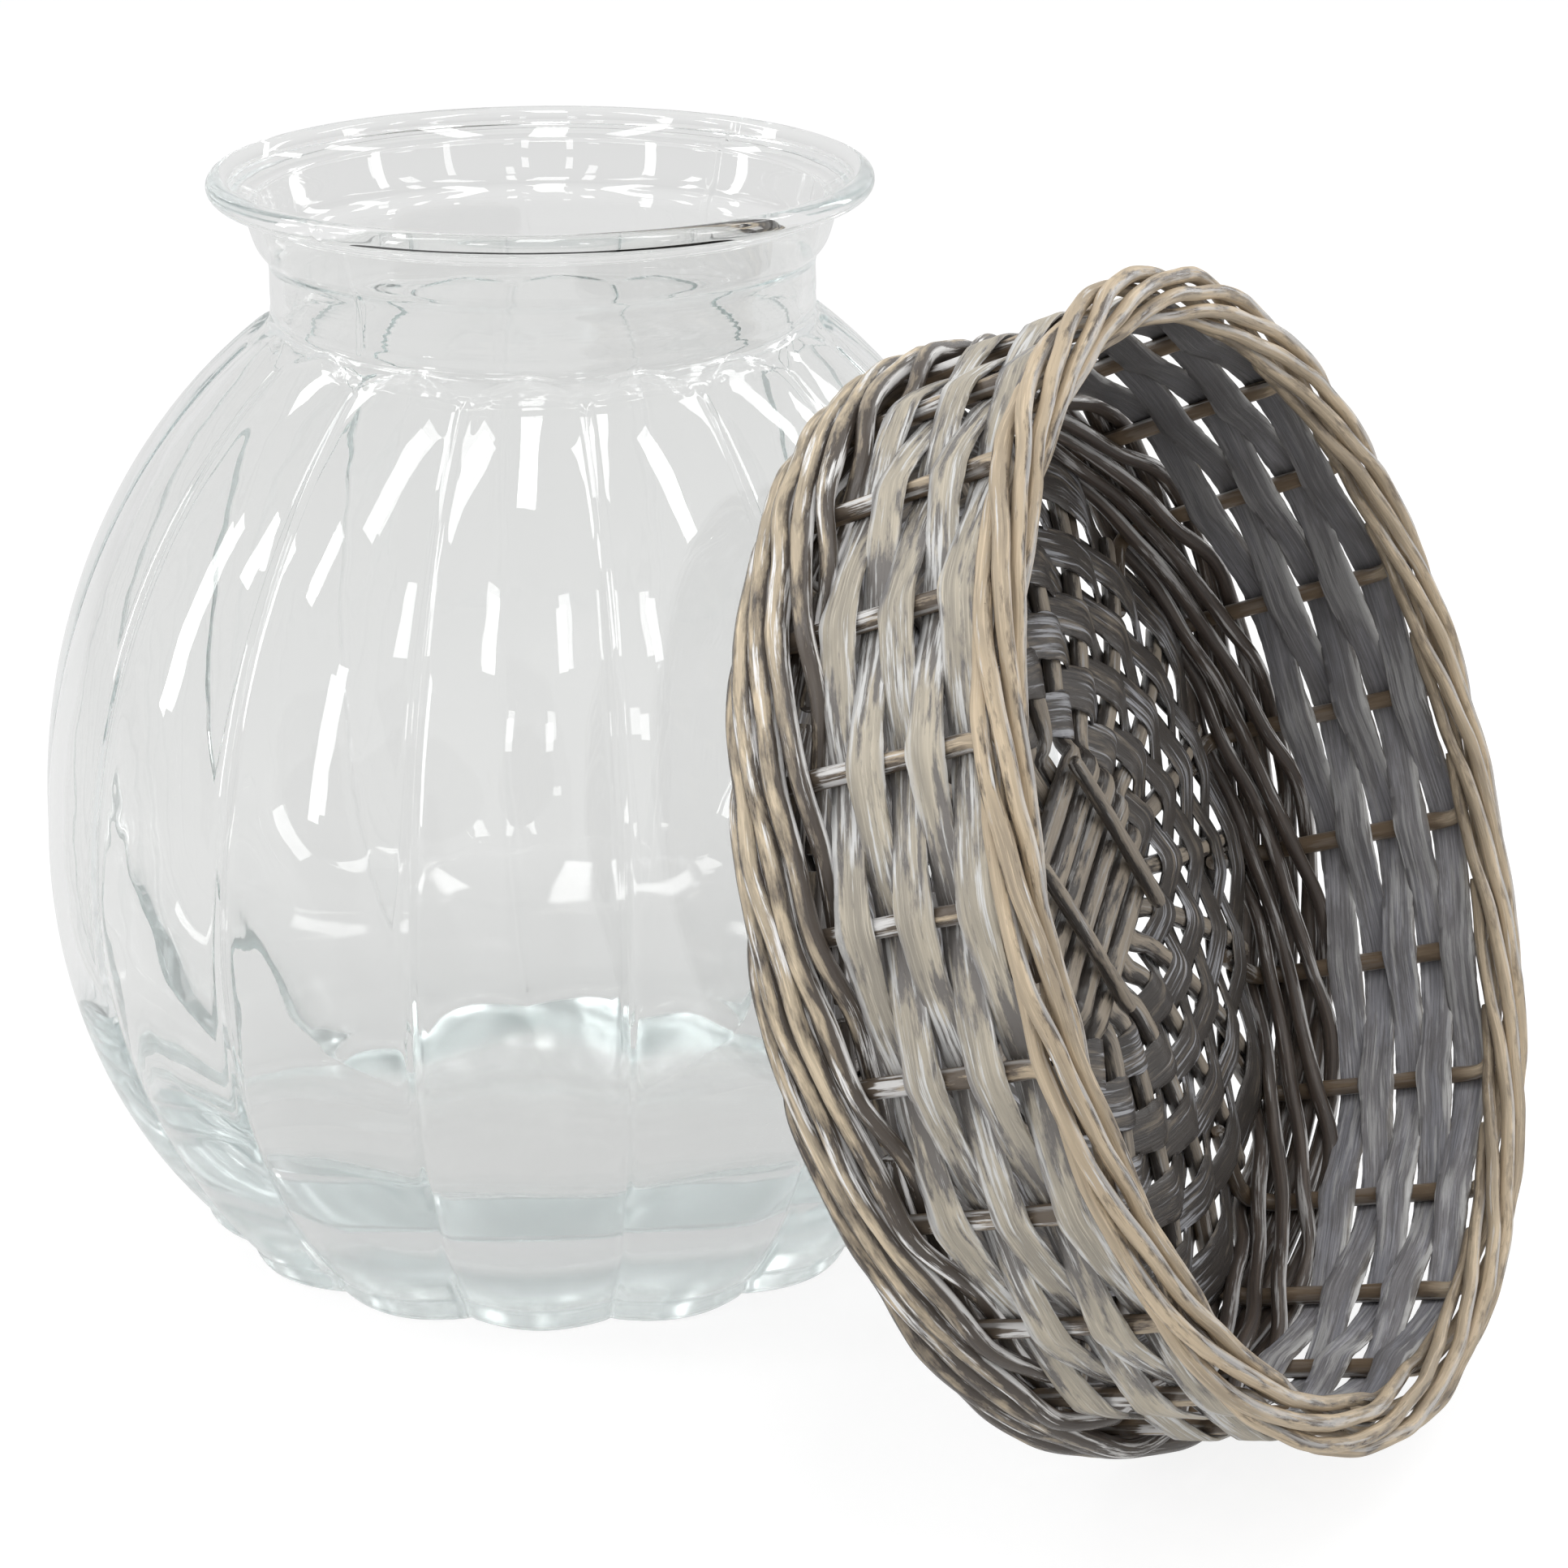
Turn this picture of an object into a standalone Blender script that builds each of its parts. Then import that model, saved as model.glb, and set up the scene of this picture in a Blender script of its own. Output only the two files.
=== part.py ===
"""Melon-lobed glass vase with the round wicker basket that holds it.

The vase stands at the origin on its flat foot. The basket stands beside it on
the edge of its own foot and leans back towards the vase. Lengths are in metres,
+Z is up. Wicker pieces are modelled in the basket's own frame, whose origin is
the centre of the foot ring and whose +Z runs from the foot to the opening.
"""

import math

import bmesh
import bpy
import numpy as np
from mathutils import Vector

# Gap left between pieces that touch on the real object
CLEARANCE = 0.0003

# Glass vase
RIM_HEIGHT = 0.280
RIM_RADIUS = 0.0822
RIM_ROLL_DIAMETER = 0.006
FLARE_RISE = 0.018
NECK_RADIUS = 0.0703
NECK_LENGTH = 0.0162
BELLY_RADIUS = 0.1367
BELLY_HEIGHT = 0.106
BELLY_DROP = 0.148
HEEL_ROUNDING = 0.0015
WALL_THICKNESS = 0.0038
FLOOR_THICKNESS = 0.012
BOWL_SQUARENESS = 2.7
LOBE_COUNT = 16
LOBE_DEPTH_AT_FOOT = 0.005
LOBE_DEPTH_AT_BELLY = 0.0032
LOBE_TOP_TO_NECK = 0.0138
LOBE_SHARE_INSIDE = 0.6
LOBE_TURN = math.radians(-5.5)
COLUMN_COUNT_PER_LOBE = 4

# Basket
BASKET_HEIGHT = 0.075
WALL_RADIUS_AT_FOOT = 0.1283
WALL_RADIUS_AT_BORDER = 0.1337
STAKE_COUNT = 24
STAKE_DIAMETER = 0.0040
STAKE_TIP_DIAMETER = 0.0032
STAKE_BEND_RADIUS = 0.007
STAKE_INNER_RADIUS = 0.096

# Rolled border made of the stakes' own tails
BORDER_HALF_WIDTH = 0.0056
BORDER_HALF_HEIGHT = 0.0036
BORDER_SPACING_COUNT = 5
BORDER_BEND_RADIUS = 0.006
BORDER_TRACK_START = math.radians(-90)
BORDER_TRACK_END = math.radians(185)

# Flat strips of the side
SIDE_ROW_COUNT = 5
SIDE_STRIP_WIDTH = 0.0075
SIDE_STRIP_THICKNESS = 0.0012
SIDE_ROW_PITCH = 0.0078

# Foot band of rods that climb outside five stakes and come back inside three
FOOT_ROD_DIAMETER = 0.0042
FOOT_ROD_COUNT = 8
FOOT_STAKE_COUNT_OUTSIDE = 5
FOOT_BAND_HEIGHT = 0.02425
FOOT_CROSSING_INSET = 0.0015

# Crowned base
BASE_RADIUS = 0.118
BASE_CROWN = 0.012
SLATH_RADIUS = 0.033
STICK_COUNT_PER_LAYER = 6
STICK_WIDTH_AT_MIDDLE = 0.0068
STICK_WIDTH = 0.0052
STICK_THICKNESS = 0.0044
SLATH_PITCH = 0.0080
SLATH_HALF_LENGTH = 0.022
TIE_ROD_DIAMETER = 0.0042
TIE_ROD_LENGTH = 0.050
TIE_ROD_PLACE = 0.018
BASE_ROUND_COUNT = 8
BASE_FIRST_ROUND_RADIUS = 0.043
BASE_LAST_ROUND_RADIUS = 0.1085
BASE_STRIP_WIDTH = 0.0074
BASE_STRIP_THICKNESS = 0.0011

# Where the basket stands beside the vase
BASKET_AZIMUTH = math.radians(-29.28)
BASKET_RAISE = math.radians(20.08)
BASKET_GAP_TO_VASE = 0.011
BASKET_SIDESTEP = -0.0426
SLATH_TURN = math.radians(15)

FACE_SIDES = 5
STICK_SIDES = 6
STAKE_SPACING = 2 * math.pi / STAKE_COUNT

# Sizes that follow from the ones above
NECK_TOP_HEIGHT = RIM_HEIGHT - FLARE_RISE
NECK_ROOT_HEIGHT = NECK_TOP_HEIGHT - NECK_LENGTH
NECK_SHARE = NECK_RADIUS / BELLY_RADIUS
SHOULDER_RISE = (NECK_ROOT_HEIGHT - BELLY_HEIGHT) / math.sqrt(1 - NECK_SHARE**2)
LOBE_TOP_HEIGHT = NECK_ROOT_HEIGHT - LOBE_TOP_TO_NECK
FOOT_REACH = STAKE_DIAMETER / 2 + CLEARANCE + FOOT_ROD_DIAMETER / 2
CORNER = math.sqrt(0.5)
BASE_EDGE_HEIGHT = (
    FOOT_ROD_DIAMETER / 2 + CORNER * FOOT_REACH - STAKE_BEND_RADIUS * (1 - CORNER)
)
BEND_CENTRE_RADIUS = WALL_RADIUS_AT_FOOT - STAKE_BEND_RADIUS
BEND_TOP_HEIGHT = BASE_EDGE_HEIGHT + STAKE_BEND_RADIUS
FOOT_TOP_HEIGHT = FOOT_BAND_HEIGHT - FOOT_ROD_DIAMETER / 2
BORDER_HEIGHT = BASKET_HEIGHT - BORDER_HALF_HEIGHT - STAKE_DIAMETER / 2
FIRST_SIDE_ROW_HEIGHT = FOOT_BAND_HEIGHT + CLEARANCE + SIDE_STRIP_WIDTH / 2
PAIR_ANGLE = (STICK_WIDTH / 2 + STAKE_DIAMETER / 2 + CLEARANCE) / STAKE_INNER_RADIUS
STICK_LAYER_OFFSET = (STICK_THICKNESS + CLEARANCE) / 2


def make_material(name, colour, roughness, metallic=0.0):
    """Return a Principled material with one plain finish."""
    material = bpy.data.materials.new(name)
    material.use_nodes = True
    shader = material.node_tree.nodes["Principled BSDF"]
    shader.inputs["Base Color"].default_value = (*colour, 1.0)
    shader.inputs["Roughness"].default_value = roughness
    shader.inputs["Metallic"].default_value = metallic
    return material


def finish_object(name, bm, material, parent=None):
    """Turn a bmesh into a smooth-shaded object and hang it on its parent."""
    bmesh.ops.recalc_face_normals(bm, faces=bm.faces)
    mesh = bpy.data.meshes.new(name)
    bm.to_mesh(mesh)
    bm.free()
    mesh.shade_smooth()
    mesh.set_sharp_from_angle(angle=math.radians(50))
    mesh.materials.append(material)
    piece = bpy.data.objects.new(name, mesh)
    bpy.context.collection.objects.link(piece)
    piece.parent = parent
    return piece


def loft(rings, closed):
    """Extrude a face from ring to ring; a closed loft is bridged to its start."""
    bm = bmesh.new()
    first = bm.faces.new([bm.verts.new(point) for point in rings[0]])
    last = first
    for ring in rings[1:]:
        grown = bmesh.ops.extrude_face_region(bm, geom=[last])["geom"]
        if last is not first:
            bmesh.ops.delete(bm, geom=[last], context="FACES_ONLY")
        last = next(item for item in grown if isinstance(item, bmesh.types.BMFace))
        for vertex, point in zip(last.verts, ring):
            vertex.co = point
    if closed:
        seam = list(first.edges) + list(last.edges)
        bmesh.ops.delete(bm, geom=[first, last], context="FACES_ONLY")
        bmesh.ops.bridge_loops(bm, edges=seam)
    return bm


def oval_outline(width, thickness, sides):
    """Offsets of an oval cross-section, across its width and its thickness."""
    angles = [2 * math.pi * side / sides for side in range(sides)]
    return [(width / 2 * math.cos(a), thickness / 2 * math.sin(a)) for a in angles]


def flat_outline(width, thickness):
    """Offsets of a flat strip's cross-section."""
    return [
        (width / 2, thickness / 2),
        (-width / 2, thickness / 2),
        (-width / 2, -thickness / 2),
        (width / 2, -thickness / 2),
    ]


def path_directions(points, closed):
    """Unit direction of the path at each of its points."""
    count = len(points)
    directions = []
    for index in range(count):
        if closed:
            before, after = points[index - 1], points[(index + 1) % count]
        else:
            before, after = points[max(index - 1, 0)], points[min(index + 1, count - 1)]
        directions.append((after - before).normalized())
    return directions


def guided_rings(points, width_guides, outlines, closed):
    """Cross-sections whose width follows a guide direction at every point."""
    rings = []
    for point, along, guide, outline in zip(
        points, path_directions(points, closed), width_guides, outlines
    ):
        normal = along.cross(guide).normalized()
        across = normal.cross(along)
        rings.append([point + across * u + normal * w for u, w in outline])
    return rings


def carried_rings(points, start_guide, outlines):
    """Cross-sections carried along an open path without twisting."""
    across = start_guide
    rings = []
    for point, along, outline in zip(points, path_directions(points, False), outlines):
        across = (across - along * across.dot(along)).normalized()
        normal = along.cross(across)
        rings.append([point + across * u + normal * w for u, w in outline])
    return rings


def polar(radius, angle, height):
    """Point in the basket's frame."""
    return Vector((radius * math.cos(angle), radius * math.sin(angle), height))


def body_radius(height):
    """Outer radius of the vase's body at the crest of a lobe, an oval in two halves."""
    reach = BELLY_DROP if height < BELLY_HEIGHT else SHOULDER_RISE
    return BELLY_RADIUS * math.sqrt(1 - ((height - BELLY_HEIGHT) / reach) ** 2)


def bowl_radius(height):
    """Inner radius of the vase: rounded at the floor, one wall inside the body above."""
    if height >= BELLY_HEIGHT:
        return body_radius(height) - WALL_THICKNESS
    depth = (BELLY_HEIGHT - height) / (BELLY_HEIGHT - FLOOR_THICKNESS)
    share = max(1 - depth**BOWL_SQUARENESS, 0)
    return (BELLY_RADIUS - WALL_THICKNESS) * share ** (1 / BOWL_SQUARENESS)


def lobe_depth(height):
    """Depth of the grooves between lobes, from the foot up to the shoulder."""
    if height < BELLY_HEIGHT:
        share = height / BELLY_HEIGHT
        return LOBE_DEPTH_AT_FOOT + share * (LOBE_DEPTH_AT_BELLY - LOBE_DEPTH_AT_FOOT)
    share = (height - BELLY_HEIGHT) / (LOBE_TOP_HEIGHT - BELLY_HEIGHT)
    return LOBE_DEPTH_AT_BELLY * max(1 - share**4, 0)


def groove_depth(radius, height):
    """Groove depth on the wall's outer or inner face; it fades out towards the floor."""
    if radius > body_radius(min(height, LOBE_TOP_HEIGHT)) - WALL_THICKNESS / 2:
        return lobe_depth(height)
    risen = (height - FLOOR_THICKNESS) / (BELLY_HEIGHT - FLOOR_THICKNESS)
    return LOBE_SHARE_INSIDE * min(risen, 1) * lobe_depth(height)


def vase_profile():
    """Half outline (radius, height) from the foot over the rim and down to the inner floor."""
    root = NECK_ROOT_HEIGHT
    roll = RIM_ROLL_DIAMETER / 2
    points = [(body_radius(0) - HEEL_ROUNDING, 0)]
    for height in np.linspace(HEEL_ROUNDING, LOBE_TOP_HEIGHT, 11):
        points.append((body_radius(height), height))
    points.append((NECK_RADIUS, root))
    points.append((NECK_RADIUS, NECK_TOP_HEIGHT))
    flare = (NECK_RADIUS + RIM_RADIUS) / 2
    flare_height = NECK_TOP_HEIGHT + 0.7 * (RIM_HEIGHT - NECK_TOP_HEIGHT)
    points.append((flare, flare_height))
    for turn in (-45, 20, 90, 160):
        angle = math.radians(turn)
        points.append((RIM_RADIUS + roll * math.cos(angle), RIM_HEIGHT + roll * math.sin(angle)))
    points.append((flare - WALL_THICKNESS, flare_height + WALL_THICKNESS / 2))
    points.append((NECK_RADIUS - WALL_THICKNESS, NECK_TOP_HEIGHT))
    points.append((NECK_RADIUS - WALL_THICKNESS, root))
    for height in np.linspace(LOBE_TOP_HEIGHT, BELLY_HEIGHT, 6):
        points.append((bowl_radius(height), height))
    for share in (0.7, 0.42, 0.22, 0.09):
        height = FLOOR_THICKNESS + share * (BELLY_HEIGHT - FLOOR_THICKNESS)
        points.append((bowl_radius(height), height))
    points.append((0.6 * points[-1][0], FLOOR_THICKNESS + HEEL_ROUNDING))
    return points


def make_vase(material):
    """Spin the profile, press the grooves between the lobes and close foot and floor."""
    bm = bmesh.new()
    chain = [bm.verts.new((radius, 0, height)) for radius, height in vase_profile()]
    edges = [bm.edges.new(pair) for pair in zip(chain, chain[1:])]
    bmesh.ops.spin(
        bm, geom=chain + edges, axis=(0, 0, 1), cent=(0, 0, 0), angle=2 * math.pi,
        steps=LOBE_COUNT * COLUMN_COUNT_PER_LOBE, use_merge=True,
    )
    for vertex in bm.verts:
        x, y, height = vertex.co
        radius = math.hypot(x, y)
        groove = 1 - abs(math.sin(LOBE_COUNT / 2 * math.atan2(y, x)))
        share = 1 - groove_depth(radius, height) * groove / radius
        vertex.co = (x * share, y * share, height)
    rims = [edge for edge in bm.edges if edge.is_boundary]
    bmesh.ops.holes_fill(bm, edges=rims, sides=0)
    vase = finish_object("glass_vase", bm, material)
    half_lobe = math.pi / LOBE_COUNT
    vase.rotation_euler.z = math.radians(-90) + LOBE_TURN + half_lobe
    return vase


def wall_radius(height):
    """Radius of the stakes' circle, which widens from the foot to the border."""
    share = (height - BEND_TOP_HEIGHT) / (BORDER_HEIGHT - BEND_TOP_HEIGHT)
    return WALL_RADIUS_AT_FOOT + share * (WALL_RADIUS_AT_BORDER - WALL_RADIUS_AT_FOOT)


def band_place(offset, share):
    """Place (radius, height) in the foot band.

    The offset is from the stakes' middle, outward. The share runs from the
    middle of the bend, 0, up to the top of the band, 1.
    """
    bend = STAKE_BEND_RADIUS + offset
    arc = bend * math.pi / 4
    run = share * (arc + FOOT_TOP_HEIGHT - BEND_TOP_HEIGHT)
    if run < arc:
        angle = run / bend - math.pi / 4
        radius = BEND_CENTRE_RADIUS + bend * math.cos(angle)
        return radius, BEND_TOP_HEIGHT + bend * math.sin(angle)
    height = BEND_TOP_HEIGHT + run - arc
    return wall_radius(height) + offset, height


def base_breaks():
    """Radii at which the crowned base changes slope."""
    return [SLATH_RADIUS + share * (BASE_RADIUS - SLATH_RADIUS) for share in (0, 1 / 3, 2 / 3, 1)]


def base_height(radius):
    """Height of the base's middle surface: flat at the slath, low at the edge."""
    breaks = base_breaks()
    span = BASE_RADIUS - SLATH_RADIUS
    drops = [((reach - SLATH_RADIUS) / span) ** 2 for reach in breaks]
    heights = [BASE_EDGE_HEIGHT + BASE_CROWN * (1 - drop) for drop in drops]
    return float(np.interp(radius, breaks, heights))


def border_track(share):
    """Offset (outward, upward) of a border rod after a share of its run.

    A rod starts below the border's middle, passes out and up over the top and
    ends on the inner side, at a steady pace along an oval.
    """
    angles = np.linspace(BORDER_TRACK_START, BORDER_TRACK_END, 241)
    outward = BORDER_HALF_WIDTH * np.cos(angles)
    upward = BORDER_HALF_HEIGHT * np.sin(angles)
    steps = np.hypot(np.diff(outward), np.diff(upward))
    travelled = np.concatenate(([0], np.cumsum(steps)))
    place = share * travelled[-1]
    return float(np.interp(place, travelled, outward)), float(np.interp(place, travelled, upward))


def stake_path():
    """Centre line of a stake that rises at angle 0, with its diameter at each point."""
    middle_radius = (STAKE_INNER_RADIUS + BASE_RADIUS) / 2
    bend_radius, bend_height = band_place(0, 0)
    points = [
        polar(STAKE_INNER_RADIUS, 0, base_height(STAKE_INNER_RADIUS)),
        polar(middle_radius, 0, base_height(middle_radius)),
        polar(BEND_CENTRE_RADIUS, 0, BASE_EDGE_HEIGHT),
        polar(bend_radius, 0, bend_height),
        polar(WALL_RADIUS_AT_FOOT, 0, BEND_TOP_HEIGHT),
    ]
    lowest = BORDER_HEIGHT - BORDER_HALF_HEIGHT
    for turn in (0, 45, 90):
        angle = math.radians(turn)
        along = BORDER_BEND_RADIUS * (1 - math.cos(angle)) / WALL_RADIUS_AT_BORDER
        height = lowest - BORDER_BEND_RADIUS * (1 - math.sin(angle))
        points.append(polar(wall_radius(height), along, height))
    diameters = [STAKE_DIAMETER] * len(points)
    bend_end = BORDER_BEND_RADIUS / (WALL_RADIUS_AT_BORDER * STAKE_SPACING)
    for half in range(1, 2 * BORDER_SPACING_COUNT + 1):
        passed = half / 2
        share = (passed - bend_end) / (BORDER_SPACING_COUNT - bend_end)
        outward, upward = border_track(share)
        radius = WALL_RADIUS_AT_BORDER + outward
        points.append(polar(radius, passed * STAKE_SPACING, BORDER_HEIGHT + upward))
        diameters.append(STAKE_DIAMETER + share * (STAKE_TIP_DIAMETER - STAKE_DIAMETER))
    return points, diameters


def make_stakes(material, parent):
    """One rod per spoke: up from the base, through the side and into the border."""
    points, diameters = stake_path()
    outlines = [oval_outline(d, d, FACE_SIDES) for d in diameters]
    rings = carried_rings(points, Vector((0, 1, 0)), outlines)
    for index in range(STAKE_COUNT):
        stake = finish_object(f"stake_{index + 1:02d}", loft(rings, False), material, parent)
        stake.rotation_euler.z = index * STAKE_SPACING


def foot_track():
    """Radius and height of a foot rod at every half stake of one round trip.

    It crosses through the bend of the stakes, climbs outside them, crosses over
    above the others and comes back down inside.
    """
    last = 2 * FOOT_ROD_COUNT - 1
    turn = 2 * FOOT_STAKE_COUNT_OUTSIDE
    track = [band_place(-FOOT_CROSSING_INSET, 0)]
    for step in range(1, turn):
        track.append(band_place(FOOT_REACH, (step - 1) / (turn - 1)))
    track.append(band_place(0, 1))
    for step in range(turn + 1, last + 1):
        track.append(band_place(-FOOT_REACH, (last - step) / (last - turn)))
    return track


def make_foot_rods(material, parent):
    """Foot band of rods laid side by side, each one stake further round than the last."""
    track = foot_track()
    outline = oval_outline(FOOT_ROD_DIAMETER, FOOT_ROD_DIAMETER, FACE_SIDES)
    points = []
    for half in range(2 * STAKE_COUNT):
        radius, height = track[half % len(track)]
        points.append(polar(radius, (half + 1) / 2 * STAKE_SPACING, height))
    guides = [Vector((0, 0, 1))] * len(points)
    rings = guided_rings(points, guides, [outline] * len(points), True)
    for index in range(FOOT_ROD_COUNT):
        rod = finish_object(f"foot_rod_{index + 1}", loft(rings, True), material, parent)
        rod.rotation_euler.z = index * STAKE_SPACING


def make_side_strips(material, parent):
    """Rows of flat strips that pass outside one stake and inside the next."""
    reach = STAKE_DIAMETER / 2 + CLEARANCE + SIDE_STRIP_THICKNESS / 2
    half_rest = 0.65 * STAKE_DIAMETER
    lean = math.atan2(
        WALL_RADIUS_AT_BORDER - WALL_RADIUS_AT_FOOT, BORDER_HEIGHT - BEND_TOP_HEIGHT
    )
    outline = flat_outline(SIDE_STRIP_WIDTH, SIDE_STRIP_THICKNESS)
    for row in range(SIDE_ROW_COUNT):
        height = FIRST_SIDE_ROW_HEIGHT + row * SIDE_ROW_PITCH
        radius = wall_radius(height)
        points, guides = [], []
        for index in range(STAKE_COUNT):
            side = 1 if (index + row) % 2 else -1
            for end in (-1, 1):
                angle = index * STAKE_SPACING + end * half_rest / radius
                points.append(polar(radius + side * reach, angle, height))
                guides.append(polar(math.sin(lean), angle, math.cos(lean)))
        rings = guided_rings(points, guides, [outline] * len(points), True)
        finish_object(f"side_strip_{row + 1}", loft(rings, True), material, parent)


def stick_path(place, layer):
    """Centre line and widths of one base stick that runs along +X.

    Args:
        place: The stick's place in its layer, counted from the middle.
        layer: +1 for the layer that shows inside the basket, -1 for the one under it.
    """
    breaks = base_breaks()
    settled = BASE_FIRST_ROUND_RADIUS - BASE_STRIP_WIDTH / 2 - CLEARANCE
    half = []
    spoke = place * STAKE_SPACING
    half.append((SLATH_HALF_LENGTH, place * SLATH_PITCH, base_height(0), 1))
    for radius in [breaks[0], settled] + breaks[1:]:
        raised = 1 if radius <= SLATH_RADIUS else 0
        x, y = radius * math.cos(spoke), radius * math.sin(spoke)
        half.append((x, y, base_height(radius), raised))
    points, widths = [], []
    for sign, stations in ((-1, reversed(half)), (1, half)):
        for x, y, height, raised in stations:
            points.append(Vector((sign * x, y, height + layer * raised * STICK_LAYER_OFFSET)))
            widths.append(STICK_WIDTH_AT_MIDDLE if raised else STICK_WIDTH)
    return points, widths


def make_base_sticks(material, parent):
    """Two crossed layers of six sticks that spread into the spokes of the base."""
    for layer, label, turn in ((1, "upper", 0), (-1, "lower", math.pi / 2)):
        for index in range(STICK_COUNT_PER_LAYER):
            place = index - (STICK_COUNT_PER_LAYER - 1) / 2
            points, widths = stick_path(place, layer)
            guides = [Vector((0, 1, 0))] * len(points)
            outlines = [oval_outline(width, STICK_THICKNESS, STICK_SIDES) for width in widths]
            rings = guided_rings(points, guides, outlines, False)
            name = f"base_stick_{label}_{index + 1}"
            stick = finish_object(name, loft(rings, False), material, parent)
            stick.rotation_euler.z = SLATH_TURN + STAKE_SPACING / 2 + PAIR_ANGLE + turn


def make_tie_rods(material, parent):
    """Two rods that bind the crossing of the base sticks from the inside."""
    height = base_height(0) + STICK_LAYER_OFFSET + STICK_THICKNESS / 2 + CLEARANCE
    height += TIE_ROD_DIAMETER / 2
    outline = oval_outline(TIE_ROD_DIAMETER, TIE_ROD_DIAMETER, STICK_SIDES)
    for index, side in enumerate((-1, 1)):
        ends = (-TIE_ROD_LENGTH / 2, TIE_ROD_LENGTH / 2)
        points = [Vector((side * TIE_ROD_PLACE, y, height)) for y in ends]
        rings = carried_rings(points, Vector((1, 0, 0)), [outline] * 2)
        rod = finish_object(f"tie_rod_{index + 1}", loft(rings, False), material, parent)
        rod.rotation_euler.z = SLATH_TURN + STAKE_SPACING / 2 + PAIR_ANGLE


def make_base_rounds(material, parent):
    """Rounds of flat skein that pass over one spoke and under the next.

    A spoke is a stick alone near the middle, and a stick with a stake beside it
    near the edge.
    """
    reach = STICK_THICKNESS / 2 + CLEARANCE + BASE_STRIP_THICKNESS / 2
    outline = flat_outline(BASE_STRIP_WIDTH, BASE_STRIP_THICKNESS)
    radii = np.linspace(BASE_FIRST_ROUND_RADIUS, BASE_LAST_ROUND_RADIUS, BASE_ROUND_COUNT)
    for row, radius in enumerate(radii):
        paired = radius + BASE_STRIP_WIDTH / 2 > STAKE_INNER_RADIUS
        slope = (base_height(radius + 0.001) - base_height(radius - 0.001)) / 0.002
        tilt = math.atan(slope)
        rest_start = PAIR_ANGLE - 0.28 * STICK_WIDTH / radius
        rest_end = PAIR_ANGLE + 0.28 * STICK_WIDTH / radius
        if paired:
            rest_start = -0.6 * STAKE_DIAMETER / 2 / radius
        points, guides = [], []
        for index in range(STAKE_COUNT):
            side = 1 if (index + row) % 2 else -1
            for rest in (rest_start, rest_end):
                angle = index * STAKE_SPACING + rest
                rise = base_height(radius) + side * reach * math.cos(tilt)
                points.append(polar(radius - side * reach * math.sin(tilt), angle, rise))
                guides.append(polar(math.cos(tilt), angle, math.sin(tilt)))
        rings = guided_rings(points, guides, [outline] * len(points), True)
        finish_object(f"base_round_{row + 1}", loft(rings, True), material, parent)


def lowest_reach():
    """How far the foot reaches below the centre of its ring in the leaning basket."""
    depths = []
    for radius, height in foot_track():
        depths.append(radius * math.cos(BASKET_RAISE) - height * math.sin(BASKET_RAISE))
    return max(depths) + FOOT_ROD_DIAMETER / 2


def make_basket_frame():
    """Empty that carries the wicker: foot edge on the ground, back to the vase."""
    facing = (math.cos(BASKET_RAISE), math.sin(BASKET_RAISE))
    heights = np.linspace(0, NECK_ROOT_HEIGHT, 400)
    vase_reach = max(body_radius(z) * facing[0] + z * facing[1] for z in heights)
    lift = lowest_reach()
    outward = (vase_reach + BASKET_GAP_TO_VASE - lift * facing[1]) / facing[0]
    away = Vector((math.cos(BASKET_AZIMUTH), math.sin(BASKET_AZIMUTH), 0))
    sideways = Vector((-away.y, away.x, 0))
    frame = bpy.data.objects.new("basket_frame", None)
    bpy.context.collection.objects.link(frame)
    frame.location = away * outward + sideways * BASKET_SIDESTEP + Vector((0, 0, lift))
    lean = math.pi / 2 - BASKET_RAISE
    frame.rotation_euler = (lean, 0, BASKET_AZIMUTH + math.pi / 2)
    return frame


def main():
    """Clear the scene and build every piece."""
    for item in list(bpy.data.objects):
        bpy.data.objects.remove(item, do_unlink=True)
    glass = make_material("clear_glass", (0.72, 0.80, 0.79), 0.05)
    stake_wood = make_material("tan_willow", (0.42, 0.33, 0.24), 0.7)
    foot_wood = make_material("brown_willow", (0.24, 0.19, 0.15), 0.75)
    side_wood = make_material("grey_split_willow", (0.44, 0.42, 0.38), 0.8)
    base_wood = make_material("dark_split_willow", (0.17, 0.16, 0.15), 0.8)
    stick_wood = make_material("grey_willow_stick", (0.27, 0.25, 0.23), 0.75)
    make_vase(glass)
    frame = make_basket_frame()
    make_stakes(stake_wood, frame)
    make_foot_rods(foot_wood, frame)
    make_side_strips(side_wood, frame)
    make_base_sticks(stick_wood, frame)
    make_tie_rods(stick_wood, frame)
    make_base_rounds(base_wood, frame)


main()
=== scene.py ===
"""Looks of the melon-lobed glass vase and its round wicker basket.

Every woven piece is rolled from a flat grid along the same path that its solid
follows, and the vase is spun from its profile and pressed into lobes. Lengths
are in metres. Wicker is shaped in the basket's own frame, whose origin is the
centre of the foot ring and whose +Z runs from the foot to the opening.
"""

import logging
import math
from dataclasses import dataclass, field
from enum import Enum, IntEnum
from typing import ClassVar

import bmesh
import bpy
import numpy as np
from mathutils import Matrix, Vector


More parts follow.
